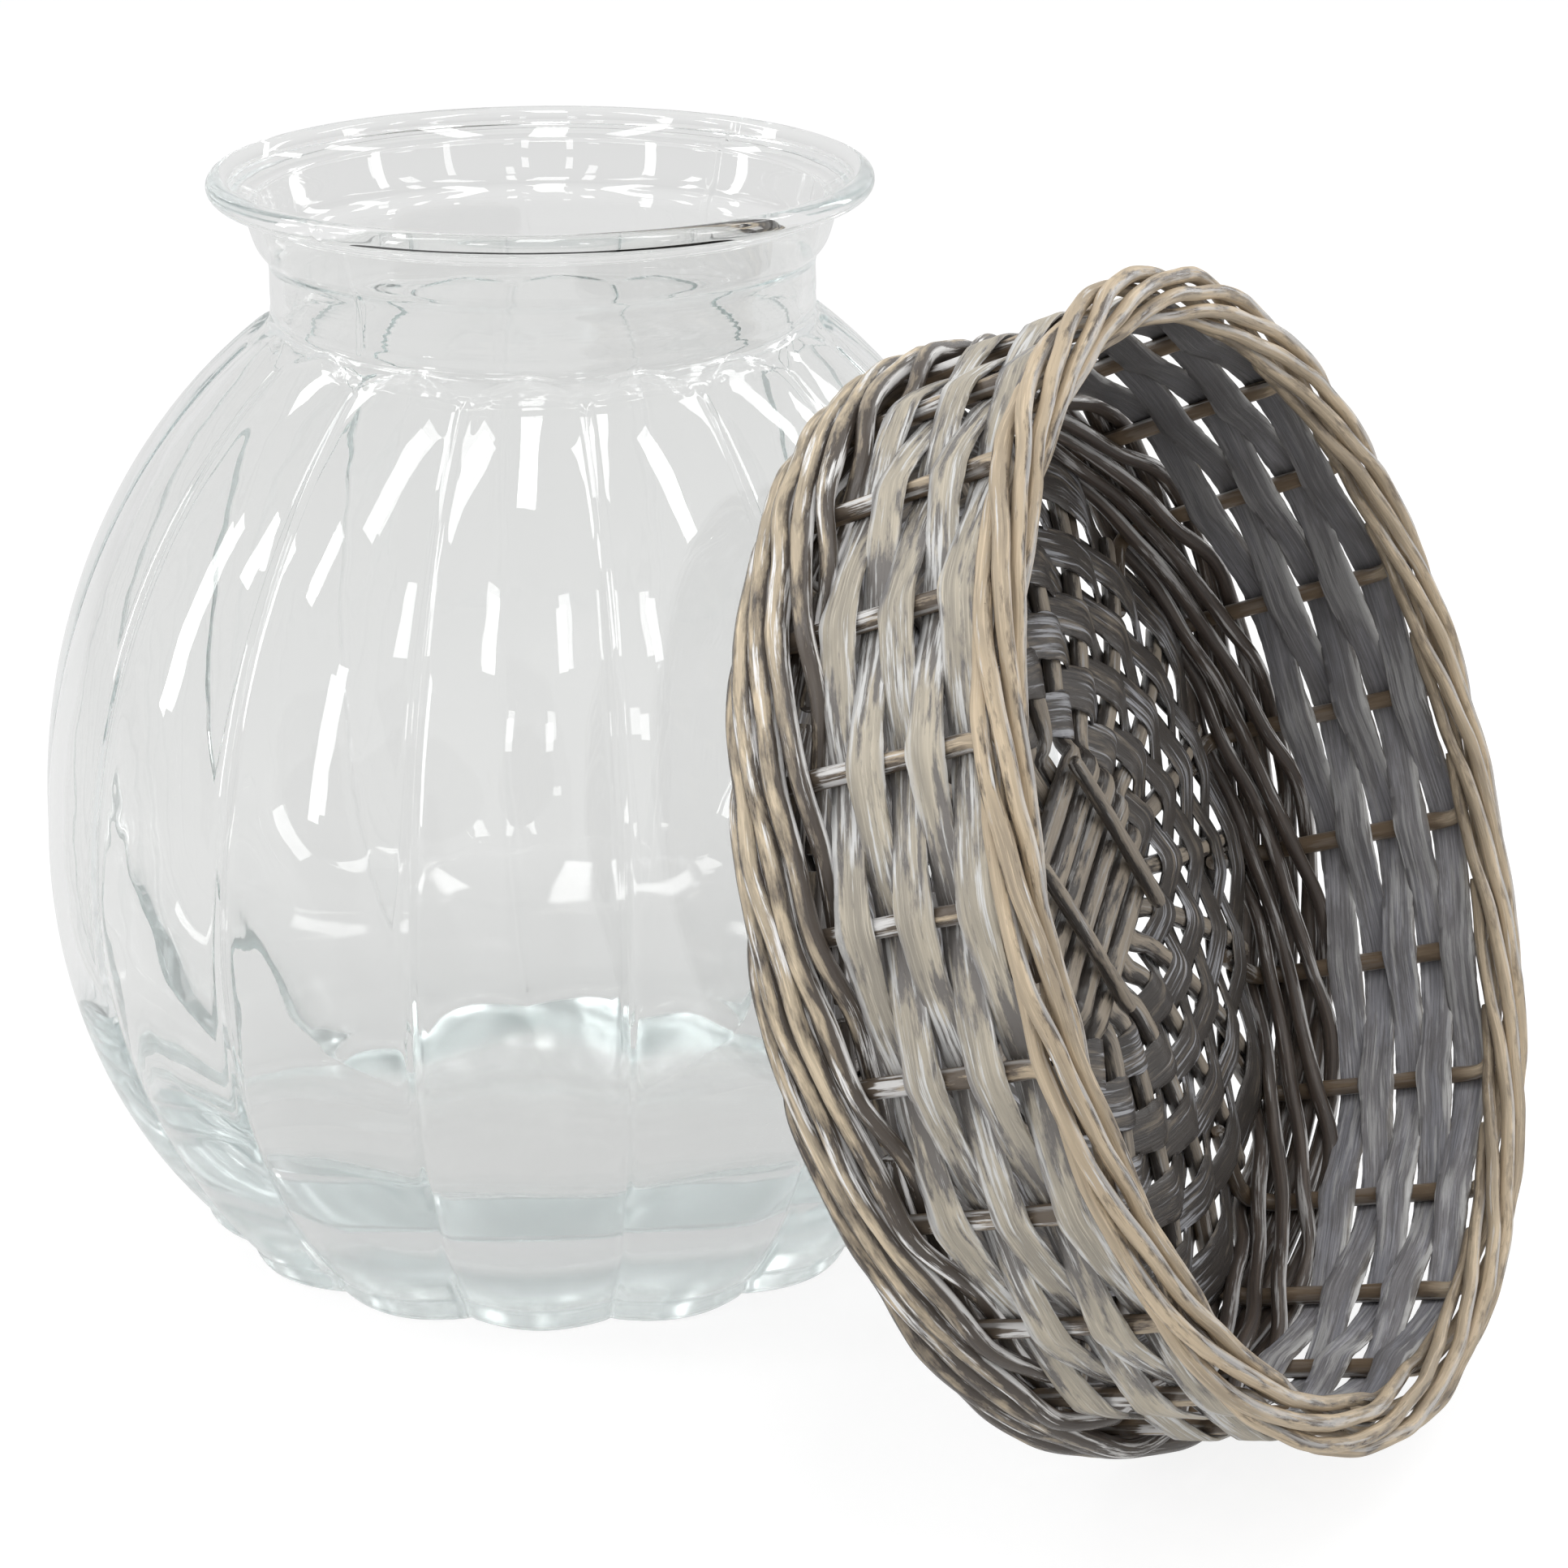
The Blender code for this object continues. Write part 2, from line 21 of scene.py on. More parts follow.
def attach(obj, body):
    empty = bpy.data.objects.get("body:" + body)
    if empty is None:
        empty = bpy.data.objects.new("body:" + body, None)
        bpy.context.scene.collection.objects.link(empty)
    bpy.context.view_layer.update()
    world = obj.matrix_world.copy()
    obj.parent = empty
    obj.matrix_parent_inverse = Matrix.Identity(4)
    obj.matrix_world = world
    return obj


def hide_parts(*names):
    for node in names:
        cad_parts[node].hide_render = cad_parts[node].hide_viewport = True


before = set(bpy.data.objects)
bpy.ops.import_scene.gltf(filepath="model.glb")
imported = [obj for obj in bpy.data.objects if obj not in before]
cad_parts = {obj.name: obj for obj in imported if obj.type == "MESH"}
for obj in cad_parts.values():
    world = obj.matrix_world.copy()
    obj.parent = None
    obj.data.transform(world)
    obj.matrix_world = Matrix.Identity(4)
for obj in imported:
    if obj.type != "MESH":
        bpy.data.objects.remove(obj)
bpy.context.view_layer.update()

LOG = logging.getLogger("glass_vase_and_basket")
FULL_TURN = 2 * math.pi
CORNER = math.sqrt(0.5)
CURVE_SAMPLES = 24
ROD_SIDES = 12
SHARP_ANGLE = math.radians(55)
CUT_END = 0.8


class Section(Enum):
    """Cross-section of a woven strand."""

    ROUND = "round or oval rod"
    SPLIT = "flat split strip"


# Wave length and reach of the slow change in a strand's size, and of its frayed edge.
SWELL = (0.035, 0.05)
FRAY = {Section.ROUND: (0.009, 0.008), Section.SPLIT: (0.009, 0.03)}


class Body(Enum):
    """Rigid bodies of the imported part."""

    VASE = "vase"
    BASKET = "basket"


class Seed(IntEnum):
    """First seed of each group of strands, for its path and for its surface."""

    STAKE_PATHS = 100
    STAKES = 200
    SIDE_PATHS = 400
    SIDE_STRIPS = 450
    STICKS = 500
    TIES = 560
    ROUND_PATHS = 600
    ROUNDS = 650
    FOOT_PATHS = 1000
    FOOT_RODS = 1100


@dataclass(frozen=True)
class VaseSizes:
    """Sizes of the pressed glass vase.

    The body is an oval in two halves, belly_drop and shoulder_rise high. The grooves
    between its lobes end below the neck in arches: arch_rise is how much higher the middle
    of a lobe reaches than its sides, and arch_step the step in the glass there, arch_edge
    wide. inside_share is the groove's depth on the inner face against the outer one, and
    inside_fade how quickly it fades towards the floor. The columns of the mesh crowd
    towards the grooves.
    """

    rim_height: float = 0.280
    rim_radius: float = 0.0822
    rim_roll: float = 0.003
    neck_radius: float = 0.0703
    neck_top: float = 0.262
    belly_radius: float = 0.1367
    belly_height: float = 0.106
    belly_drop: float = 0.148
    shoulder_rise: float = 0.163007
    heel: float = 0.006
    wall: float = 0.0038
    floor: float = 0.012
    bowl_squareness: float = 2.7
    lobes: int = 16
    groove_at_foot: float = 0.005
    groove_at_belly: float = 0.0026
    groove_at_top: float = 0.0015
    crease_depth: float = 0.00055
    crease_reach: float = 0.0011
    arch_height: float = 0.2447
    arch_rise: float = 0.0050
    arch_edge: float = 0.0018
    arch_step: float = 0.0013
    inside_share: float = 0.92
    inside_fade: float = 1.5
    groove_softness: tuple[float, float] = (0.05, 0.16)
    lobe_turn: float = math.radians(7.5)
    seam_turn: float = math.radians(-129)
    seam_relief: float = 0.00035
    seam_width: float = 0.0008
    columns_per_lobe: int = 24
    column_crowding: float = 1.7

    def body_radius(self, height: float) -> float:
        """Return the radius at the crest of a lobe, an oval in two halves."""
        reach = self.belly_drop if height < self.belly_height else self.shoulder_rise
        return self.belly_radius * math.sqrt(1 - ((height - self.belly_height) / reach) ** 2)

    def neck_root(self) -> float:
        """Return the height at which the shoulder meets the neck."""
        share = self.neck_radius / self.belly_radius
        return self.belly_height + self.shoulder_rise * math.sqrt(1 - share**2)

    def bowl_radius(self, height: float) -> float:
        """Round the bowl at the floor, and keep it one wall inside the body above.

        Args:
            height: Height on the inner face.

        Returns:
            The inner radius there.
        """
        if height >= self.belly_height:
            return self.body_radius(height) - self.wall
        depth = (self.belly_height - height) / (self.belly_height - self.floor)
        share = max(1 - depth**self.bowl_squareness, 0)
        return (self.belly_radius - self.wall) * share ** (1 / self.bowl_squareness)

    def groove(self, height: float) -> float:
        """Make the grooves between the lobes shallower from the foot up.

        Args:
            height: Height on the body.

        Returns:
            The grooves' depth there.
        """
        if height < self.belly_height:
            share = height / self.belly_height
            return self.groove_at_foot + share * (self.groove_at_belly - self.groove_at_foot)
        share = min((height - self.belly_height) / (self.arch_height - self.belly_height), 1)
        return self.groove_at_belly + share**2 * (self.groove_at_top - self.groove_at_belly)


@dataclass(frozen=True)
class BasketSizes:
    """Sizes of the wicker basket, and where it stands beside the vase.

    A swell is a strand's size against its nominal one, a bulge is what it gains where it
    passes a stake, a slimming is what it loses in the border or where it dives under others,
    a rest is the share of a stake's or stick's width over which a strip lies flat, and a
    blend is the length of the bend between two such places.
    """

    height: float = 0.075
    wall_at_foot: float = 0.1283
    wall_at_border: float = 0.1337
    stakes: int = 24
    stake: float = 0.0040
    stake_tip: float = 0.0032
    stake_bend: float = 0.007
    stake_start: float = 0.096
    foot_rod: float = 0.0042
    foot_rods: int = 8
    stakes_outside: int = 5
    band_height: float = 0.02425
    band_start: float = math.radians(60)
    crossing_inset: float = 0.0015
    border_half_width: float = 0.0056
    border_half_height: float = 0.0036
    border_spacings: int = 5
    border_bend: float = 0.0036
    border_start: float = math.radians(-90)
    border_end: float = math.radians(230)
    side_rows: int = 5
    side_width: float = 0.0075
    side_thickness: float = 0.0012
    side_pitch: float = 0.0078
    base_radius: float = 0.118
    crown: float = 0.012
    slath_radius: float = 0.033
    sticks_per_layer: int = 6
    stick_width_middle: float = 0.0068
    stick_width: float = 0.0052
    stick_thickness: float = 0.0044
    slath_pitch: float = 0.0080
    slath_half_length: float = 0.022
    tie_rod: float = 0.0042
    tie_length: float = 0.050
    tie_place: float = 0.018
    rounds: int = 8
    first_round: float = 0.043
    last_round: float = 0.1115
    skein_width: float = 0.0118
    skein_reach: float = 0.0025
    last_round_extra: float = 0.0056
    skein_thickness: float = 0.0011
    gap: float = 0.0003
    stake_swell: float = 1.16
    border_slimming: float = 0.14
    foot_swell: float = 1.28
    foot_slimming: float = 0.30
    side_swell: float = 1.13
    side_bulge: float = 0.17
    side_rest: float = 0.30
    side_blend: float = 0.0009
    skein_swell: float = 0.96
    skein_bulge: float = 0.13
    skein_rest: float = 0.28
    skein_blend: float = 0.0018
    slath_turn: float = math.radians(15)
    azimuth: float = math.radians(-29.28)
    raise_angle: float = math.radians(20.08)
    centre: tuple[float, float, float] = (0.1137334, -0.1126118, 0.123934)

    @property
    def spacing(self) -> float:
        """Return the angle from stake to stake."""
        return FULL_TURN / self.stakes

    @property
    def foot_reach(self) -> float:
        """Return how far a foot rod's middle lies from the stakes' middle."""
        return self.stake / 2 + self.gap + self.foot_rod / 2

    @property
    def base_edge(self) -> float:
        """Return the height of the base's middle surface at its edge."""
        drop = self.stake_bend * (1 - CORNER)
        return self.foot_rod / 2 + CORNER * self.foot_reach - drop

    @property
    def bend_top(self) -> float:
        """Return the height at which the stakes have turned upright."""
        return self.base_edge + self.stake_bend

    @property
    def border_height(self) -> float:
        """Return the height of the border's middle."""
        return self.height - self.border_half_height - self.stake / 2

    @property
    def first_side_row(self) -> float:
        """Return the height of the lowest side strip's middle."""
        return self.band_height + self.gap + self.side_width / 2

    @property
    def pair_angle(self) -> float:
        """Return the angle between a stake and the base stick beside it."""
        return (self.stick_width / 2 + self.stake / 2 + self.gap) / self.stake_start

    @property
    def stick_turn(self) -> float:
        """Return the angle of the upper layer of sticks and of the rods that bind it."""
        return self.slath_turn + self.spacing / 2 + self.pair_angle

    @property
    def settled(self) -> float:
        """Return the radius at which both layers of sticks have come to one level."""
        return self.first_round - self.skein_width / 2 - self.gap

    def wall_radius(self, height: float | np.ndarray) -> float | np.ndarray:
        """Return the radius of the stakes' circle at a height."""
        share = (height - self.bend_top) / (self.border_height - self.bend_top)
        return self.wall_at_foot + share * (self.wall_at_border - self.wall_at_foot)

    def band_place(self, offset: float, share: float) -> tuple[float, float]:
        """Find a place in the foot band.

        Args:
            offset: Distance outward from the stakes' middle.
            share: Way from the band's start in the bend, 0, to the top of the band, 1.

        Returns:
            Its radius and height.
        """
        bend = self.stake_bend + offset
        arc = bend * self.band_start
        run = share * (arc + self.band_height - self.foot_rod / 2 - self.bend_top)
        if run < arc:
            angle = run / bend - self.band_start
            radius = self.wall_at_foot - self.stake_bend + bend * math.cos(angle)
            return radius, self.bend_top + bend * math.sin(angle)
        height = self.bend_top + run - arc
        return float(self.wall_radius(height)) + offset, height

    def foot_track(self) -> np.ndarray:
        """Lead a foot rod up outside the stakes and back down inside them.

        Returns:
            Its (radius, height) at every half stake of the round trip.
        """
        last, turn = 2 * self.foot_rods - 1, 2 * self.stakes_outside
        track = [self.band_place(-self.crossing_inset, 0)]
        for step in range(1, turn):
            track.append(self.band_place(self.foot_reach, (step - 1) / (turn - 1)))
        track.append(self.band_place(0, 1))
        for step in range(turn + 1, last + 1):
            track.append(self.band_place(-self.foot_reach, (last - step) / (last - turn)))
        return np.array(track)

    def base_height(self, radius: float | np.ndarray) -> float | np.ndarray:
        """Crown the base in three straight steps.

        Args:
            radius: One radius or many.

        Returns:
            The height of the base's middle surface there.
        """
        span = self.base_radius - self.slath_radius
        breaks = self.slath_radius + span * np.array([0, 1 / 3, 2 / 3, 1])
        heights = self.base_edge + self.crown * (1 - ((breaks - self.slath_radius) / span) ** 2)
        return np.interp(radius, breaks, heights)

    def placement(self) -> Matrix:
        """Stand the basket where the solids have it.

        Returns:
            The matrix from the basket's frame to the world.
        """
        lean = Matrix.Rotation(math.pi / 2 - self.raise_angle, 4, "X")
        turn = Matrix.Rotation(self.azimuth + math.pi / 2, 4, "Z")
        return Matrix.Translation(self.centre) @ turn @ lean


def polar(radius: np.ndarray, angle: np.ndarray, height: np.ndarray) -> np.ndarray:
    """Return points in the basket's frame from radii, angles and heights."""
    parts = np.broadcast_arrays(radius * np.cos(angle), radius * np.sin(angle), height)
    return np.stack(parts, axis=-1)


def unit(vectors: np.ndarray) -> np.ndarray:
    """Return the vectors scaled to length one."""
    return vectors / np.linalg.norm(vectors, axis=-1, keepdims=True)


def travelled(points: np.ndarray) -> np.ndarray:
    """Return the distance along a path at each of its points."""
    steps = np.linalg.norm(np.diff(points, axis=0), axis=1)
    return np.concatenate(([0], np.cumsum(steps)))


def share_between(values: np.ndarray, low: float, high: float) -> np.ndarray:
    """Return how far values have gone from low, 0, to high, 1, held beyond both."""
    return np.clip((values - low) / (high - low), 0, 1)


def resampled(values: np.ndarray, along: np.ndarray, wanted: np.ndarray) -> np.ndarray:
    """Return columns of values read at other distances along their path."""
    columns = [np.interp(wanted, along, column) for column in np.atleast_2d(values.T)]
    return np.stack(columns, axis=-1)


def smooth_path(points: np.ndarray, step: float) -> np.ndarray:
    """Run a smooth curve through points.

    Args:
        points: The points that the curve passes, as rows.
        step: Distance between the points that come back.

    Returns:
        Evenly spaced points of a centripetal curve through the given ones.
    """
    ends = (2 * points[0] - points[1], 2 * points[-1] - points[-2])
    chain = np.vstack([ends[0], points, ends[1]])
    lengths = np.linalg.norm(np.diff(chain, axis=0), axis=1)
    knots = np.concatenate(([0], np.cumsum(np.sqrt(lengths))))
    pieces = []
    for index in range(1, len(chain) - 2):
        near = knots[index - 1:index + 3]
        rows = list(chain[index - 1:index + 3])
        t = np.linspace(near[1], near[2], CURVE_SAMPLES, endpoint=False)[:, None]
        for lows, highs in ((near[:3], near[1:]), (near[:2], near[2:]), (near[1:2], near[2:3])):
            rows = [(high - t) / (high - low) * first + (t - low) / (high - low) * last
                    for low, high, first, last in zip(lows, highs, rows, rows[1:])]
        pieces.append(rows[0])
    dense = np.vstack(pieces + [points[-1:]])
    along = travelled(dense)
    count = max(int(round(along[-1] / step)), 2)
    return resampled(dense, along, np.linspace(0, along[-1], count + 1))


def wander(along: np.ndarray, rng: np.random.Generator, wave: float, reach: float) -> np.ndarray:
    """Swing slowly and irregularly along a path.

    Args:
        along: Distances along the path.
        rng: Source of the phases.
        wave: Length of the longest wave.
        reach: Largest swing.

    Returns:
        The swing at each distance.
    """
    total = np.zeros_like(along)
    shares = (1.0, 0.53, 0.31)
    for share in shares:
        total += share * np.sin(FULL_TURN * along / (wave * share) + rng.uniform(0, FULL_TURN))
    return reach * total / sum(shares)


def weave(middles: np.ndarray, sides: np.ndarray, half: float, count: int,
          blend: float) -> tuple[np.ndarray, np.ndarray]:
    """Run a strip over and under, in straight runs with short bends between.

    Args:
        middles: Angles at which the strip passes the stakes.
        sides: Side on which it passes each, -1 or 1.
        half: Half the angle over which it keeps to that side.
        count: Number of angles that come back.
        blend: Angle of a bend.

    Returns:
        Evenly spaced angles from the first stake to the last, and the side at each.
    """
    stations = np.stack([middles - half, middles + half], axis=1).ravel()
    fine = np.linspace(stations[0] + half, stations[-1] - half, count)
    raw = np.interp(fine, stations, np.repeat(sides, 2))
    reach = max(int(blend / (fine[1] - fine[0])), 1)
    kernel = np.hanning(2 * reach + 3)
    padded = np.pad(raw, len(kernel), mode="edge")
    smoothed = np.convolve(padded, kernel / kernel.sum(), "same")
    return fine, smoothed[len(kernel):-len(kernel)]


@dataclass
class Strand:
    """A rod or strip of willow rolled from a flat grid along its path.

    Attributes:
        name: Name of the finished piece.
        points: Middle line in the basket's frame, as rows.
        widths: Width at each point.
        thicknesses: Thickness at each point.
        section: Kind of cross-section.
        across: Width direction at each point, or None to carry it along.
        wash: How readily pale wash shows at each point, 0.5 as elsewhere.
        stain_and_shade: Extra stain and painted shade at each point, 0 for none.
        shade: Painted shade on the inner face at each point, 0 to 1, or None to follow stain.
        outer: Direction that faces out of the basket at each point, radial if None.
        seed: Number that sets this strand's own irregularity.
    """

    name: str
    points: np.ndarray
    widths: np.ndarray
    thicknesses: np.ndarray
    section: Section = Section.ROUND
    across: np.ndarray | None = None
    wash: np.ndarray | None = None
    stain_and_shade: np.ndarray | None = None
    shade: np.ndarray | None = None
    outer: np.ndarray | None = None
    seed: int = 0

    def axes(self) -> tuple[np.ndarray, np.ndarray]:
        """Turn every cross-section square to the path.

        Returns:
            The sections' width directions and their thickness directions.
        """
        ahead = unit(np.gradient(self.points, axis=0))
        if self.across is not None:
            normal = unit(np.cross(ahead, self.across))
            return np.cross(normal, ahead), normal
        side = np.cross(ahead[0], (0.31, 0.17, 0.93))
        sides = []
        for direction in ahead:
            side = unit(side - direction * np.dot(side, direction))
            sides.append(side)
        across = np.array(sides)
        return across, np.cross(ahead, across)

    def outline(self) -> np.ndarray:
        """Draw the cross-section at unit size.

        Returns:
            Its corners as rows of (across, normal).
        """
        if self.section is Section.SPLIT:
            half = [(1, 0), (0.94, 0.86), (0.62, 1.08), (0.2, 1.0), (-0.24, 1.12),
                    (-0.64, 0.96), (-0.93, 0.82), (-1, 0)]
            under = [(-x, -y) for x, y in half[1:-1]]
            return np.array(half + under)
        angles = np.arange(ROD_SIDES) * FULL_TURN / ROD_SIDES
        return np.stack([np.cos(angles), np.sin(angles)], axis=1)

    def rings(self) -> tuple[np.ndarray, np.ndarray]:
        """Set a cross-section on every point of the path, with its swell and frayed edge.

        Returns:
            The sections' points, and their offsets from the middle line.
        """
        across, normal = self.axes()
        rng = np.random.default_rng(self.seed)
        along = travelled(self.points)
        outline = self.outline()
        offsets = np.empty((len(self.points), len(outline), 2))
        for side, (u, w) in enumerate(outline):
            swell = 1 + wander(along, rng, *SWELL)
            fray = wander(along, rng, *FRAY[self.section])
            offsets[:, side, 0] = u * self.widths / 2 * (swell + fray)
            offsets[:, side, 1] = w * self.thicknesses / 2 * swell
        for end, inner in ((0, 1), (-1, -2)):
            offsets[end] = offsets[inner] * CUT_END
        rings = (
            self.points[:, None]
            + offsets[:, :, :1] * across[:, None]
            + offsets[:, :, 1:] * normal[:, None]
        )
        return rings, offsets

    def facing(self, rings: np.ndarray) -> np.ndarray:
        """Tell the basket's outside from its inside on the strand's surface.

        Args:
            rings: Points of every cross-section.

        Returns:
            How squarely each point faces out of the basket, -1 to 1.
        """
        outer = self.outer
        if outer is None:
            outer = unit(self.points * (1, 1, 0))
        away = unit(rings - self.points[:, None])
        return np.einsum("ijk,ik->ij", away, outer)

    def build(self, place: Matrix, material: bpy.types.Material) -> bpy.types.Object:
        """Roll the grid into the strand and close its cut ends.

        Args:
            place: Matrix from the basket's frame to the world.
            material: Finish of the strand.

        Returns:
            The finished object, with its place in its mesh.
        """
        rings, offsets = self.rings()
        count, sides = rings.shape[:2]
        rng = np.random.default_rng(self.seed + 7)
        along = travelled(self.points) + rng.uniform(0, 5)
        shift = rng.uniform(0, 1, 2)
        stain_and_shade = self.stain_and_shade if self.stain_and_shade is not None else np.zeros(count)
        looks = {
            "wash": self.wash if self.wash is not None else np.full(count, 0.5),
            "stain_and_shade": stain_and_shade,
            "shade": self.shade if self.shade is not None else 0.55 * np.clip(stain_and_shade, 0, 1),
        }
        facing = self.facing(rings)
        bm = bmesh.new()
        grain = bm.verts.layers.float_vector.new("grain")
        layers = [(bm.verts.layers.float.new(name), values) for name, values in looks.items()]
        outward = bm.verts.layers.float.new("facing")
        grid = bmesh.ops.create_grid(bm, x_segments=sides, y_segments=count - 1, size=0.5)
        sheet, width = grid["verts"], sides + 1
        for index, vertex in enumerate(sheet):
            row, column = divmod(index, width)
            side = column % sides
            vertex.co = rings[row, side]
            vertex[grain] = (along[row], offsets[row, side, 0] + shift[0],
                             offsets[row, side, 1] + shift[1])
            for layer, values in layers:
                vertex[layer] = values[row]
            vertex[outward] = facing[row, side]
        seam = {sheet[row * width + sides]: sheet[row * width] for row in range(count)}
        bmesh.ops.weld_verts(bm, targetmap=seam)
        rims = [edge for edge in bm.edges if edge.is_boundary]
        bmesh.ops.holes_fill(bm, edges=rims, sides=0)
        bmesh.ops.transform(bm, matrix=place, verts=bm.verts)
        return finished(self.name, bm, material)


def finished(name: str, bm: bmesh.types.BMesh, material: bpy.types.Material) -> bpy.types.Object:
    """Turn a bmesh into a smooth-shaded object at the origin.

    Args:
        name: Name of the piece.
        bm: Its shape, which is freed.
        material: Its finish.

    Returns:
        The new object.
    """
    bmesh.ops.recalc_face_normals(bm, faces=bm.faces)
    mesh = bpy.data.meshes.new(name)
    bm.to_mesh(mesh)
    bm.free()
    mesh.shade_smooth()
    mesh.set_sharp_from_angle(angle=SHARP_ANGLE)
    mesh.materials.append(material)
    piece = bpy.data.objects.new(name, mesh)
    bpy.context.collection.objects.link(piece)
    return piece


class NodeSheet:
    """A material's or world's node tree, with short calls to add and join nodes."""

    def __init__(self, tree: bpy.types.NodeTree) -> None:
        """Empty the tree."""
        self.tree = tree
        tree.nodes.clear()

    def add(self, kind: str, inputs: dict | None = None, **settings: object) -> bpy.types.Node:
        """Add a node.

        Args:
            kind: The node's type.
            inputs: Values or output sockets for its inputs, by name or number.
            settings: Values for its own properties.

        Returns:
            The new node.
        """
        node = self.tree.nodes.new(kind)
        for key, value in settings.items():
            setattr(node, key, value)
        for key, value in (inputs or {}).items():
            if isinstance(value, bpy.types.NodeSocket):
                self.tree.links.new(value, node.inputs[key])
            else:
                node.inputs[key].default_value = value
        return node

    def mix(self, share: object, first: object, second: object, kind: str = "MIX") -> object:
        """Add a colour mix.

        Args:
            share: Share of the second colour.
            first: First colour.
            second: Second colour.
            kind: Way of mixing.

        Returns:
            Its output.
        """
        node = self.add("ShaderNodeMix", {0: share, 6: first, 7: second},
                        data_type="RGBA", blend_type=kind)
        return node.outputs[2]

    def ramp(self, value: object, low: float, high: float) -> object:
        """Add a map from low..high to 0..1 and return its output."""
        return self.add("ShaderNodeMapRange", {0: value, 1: low, 2: high}).outputs[0]

    def maths(self, operation: str, first: object, second: object) -> object:
        """Add a calculation with two values and return its output."""
        return self.add("ShaderNodeMath", {0: first, 1: second}, operation=operation).outputs[0]

    def plus(self, first: object, second: object) -> object:
        """Add a sum and return its output."""
        return self.maths("ADD", first, second)

    def times(self, first: object, second: object) -> object:
        """Add a product and return its output."""
        return self.maths("MULTIPLY", first, second)

    def read(self, layer: str) -> object:
        """Add a reading of one of the mesh's number layers and return its output."""
        return self.add("ShaderNodeAttribute", attribute_name=layer).outputs["Fac"]

    def noise(self, place: object, stretch: tuple[float, float, float], detail: float,
              roughness: float = 0.5) -> object:
        """Add noise over a place.

        Args:
            place: Output socket with the place.
            stretch: Factors for the place, the inverse of the size of the blots.
            detail: Number of finer layers.
            roughness: Strength of the finer layers.

        Returns:
            Its output.
        """
        spot = self.add("ShaderNodeVectorMath", {0: place, 1: stretch}, operation="MULTIPLY")
        inputs = {"Vector": spot.outputs[0], "Scale": 1.0, "Detail": detail,
                  "Roughness": roughness}
        return self.add("ShaderNodeTexNoise", inputs).outputs["Fac"]


def new_material(name: str) -> tuple[bpy.types.Material, NodeSheet]:
    """Start a material without nodes.

    Args:
        name: Name of the material.

    Returns:
        The material and its empty node sheet.
    """
    material = bpy.data.materials.new(name)
    material.use_nodes = True
    return material, NodeSheet(material.node_tree)


@dataclass(frozen=True)
class Streaks:
    """Noise drawn out along a strand.

    Attributes:
        long: Length of its blots along the strand.
        wide: Their width across it.
        detail: Number of finer layers.
    """

    long: float
    wide: float
    detail: float

    def on(self, sheet: NodeSheet, grain: object) -> object:
        """Add the noise over the strand's grain and return its output."""
        stretch = (1 / self.long, 1 / self.wide, 1 / self.wide)
        return sheet.noise(grain, stretch, self.detail, 0.62)


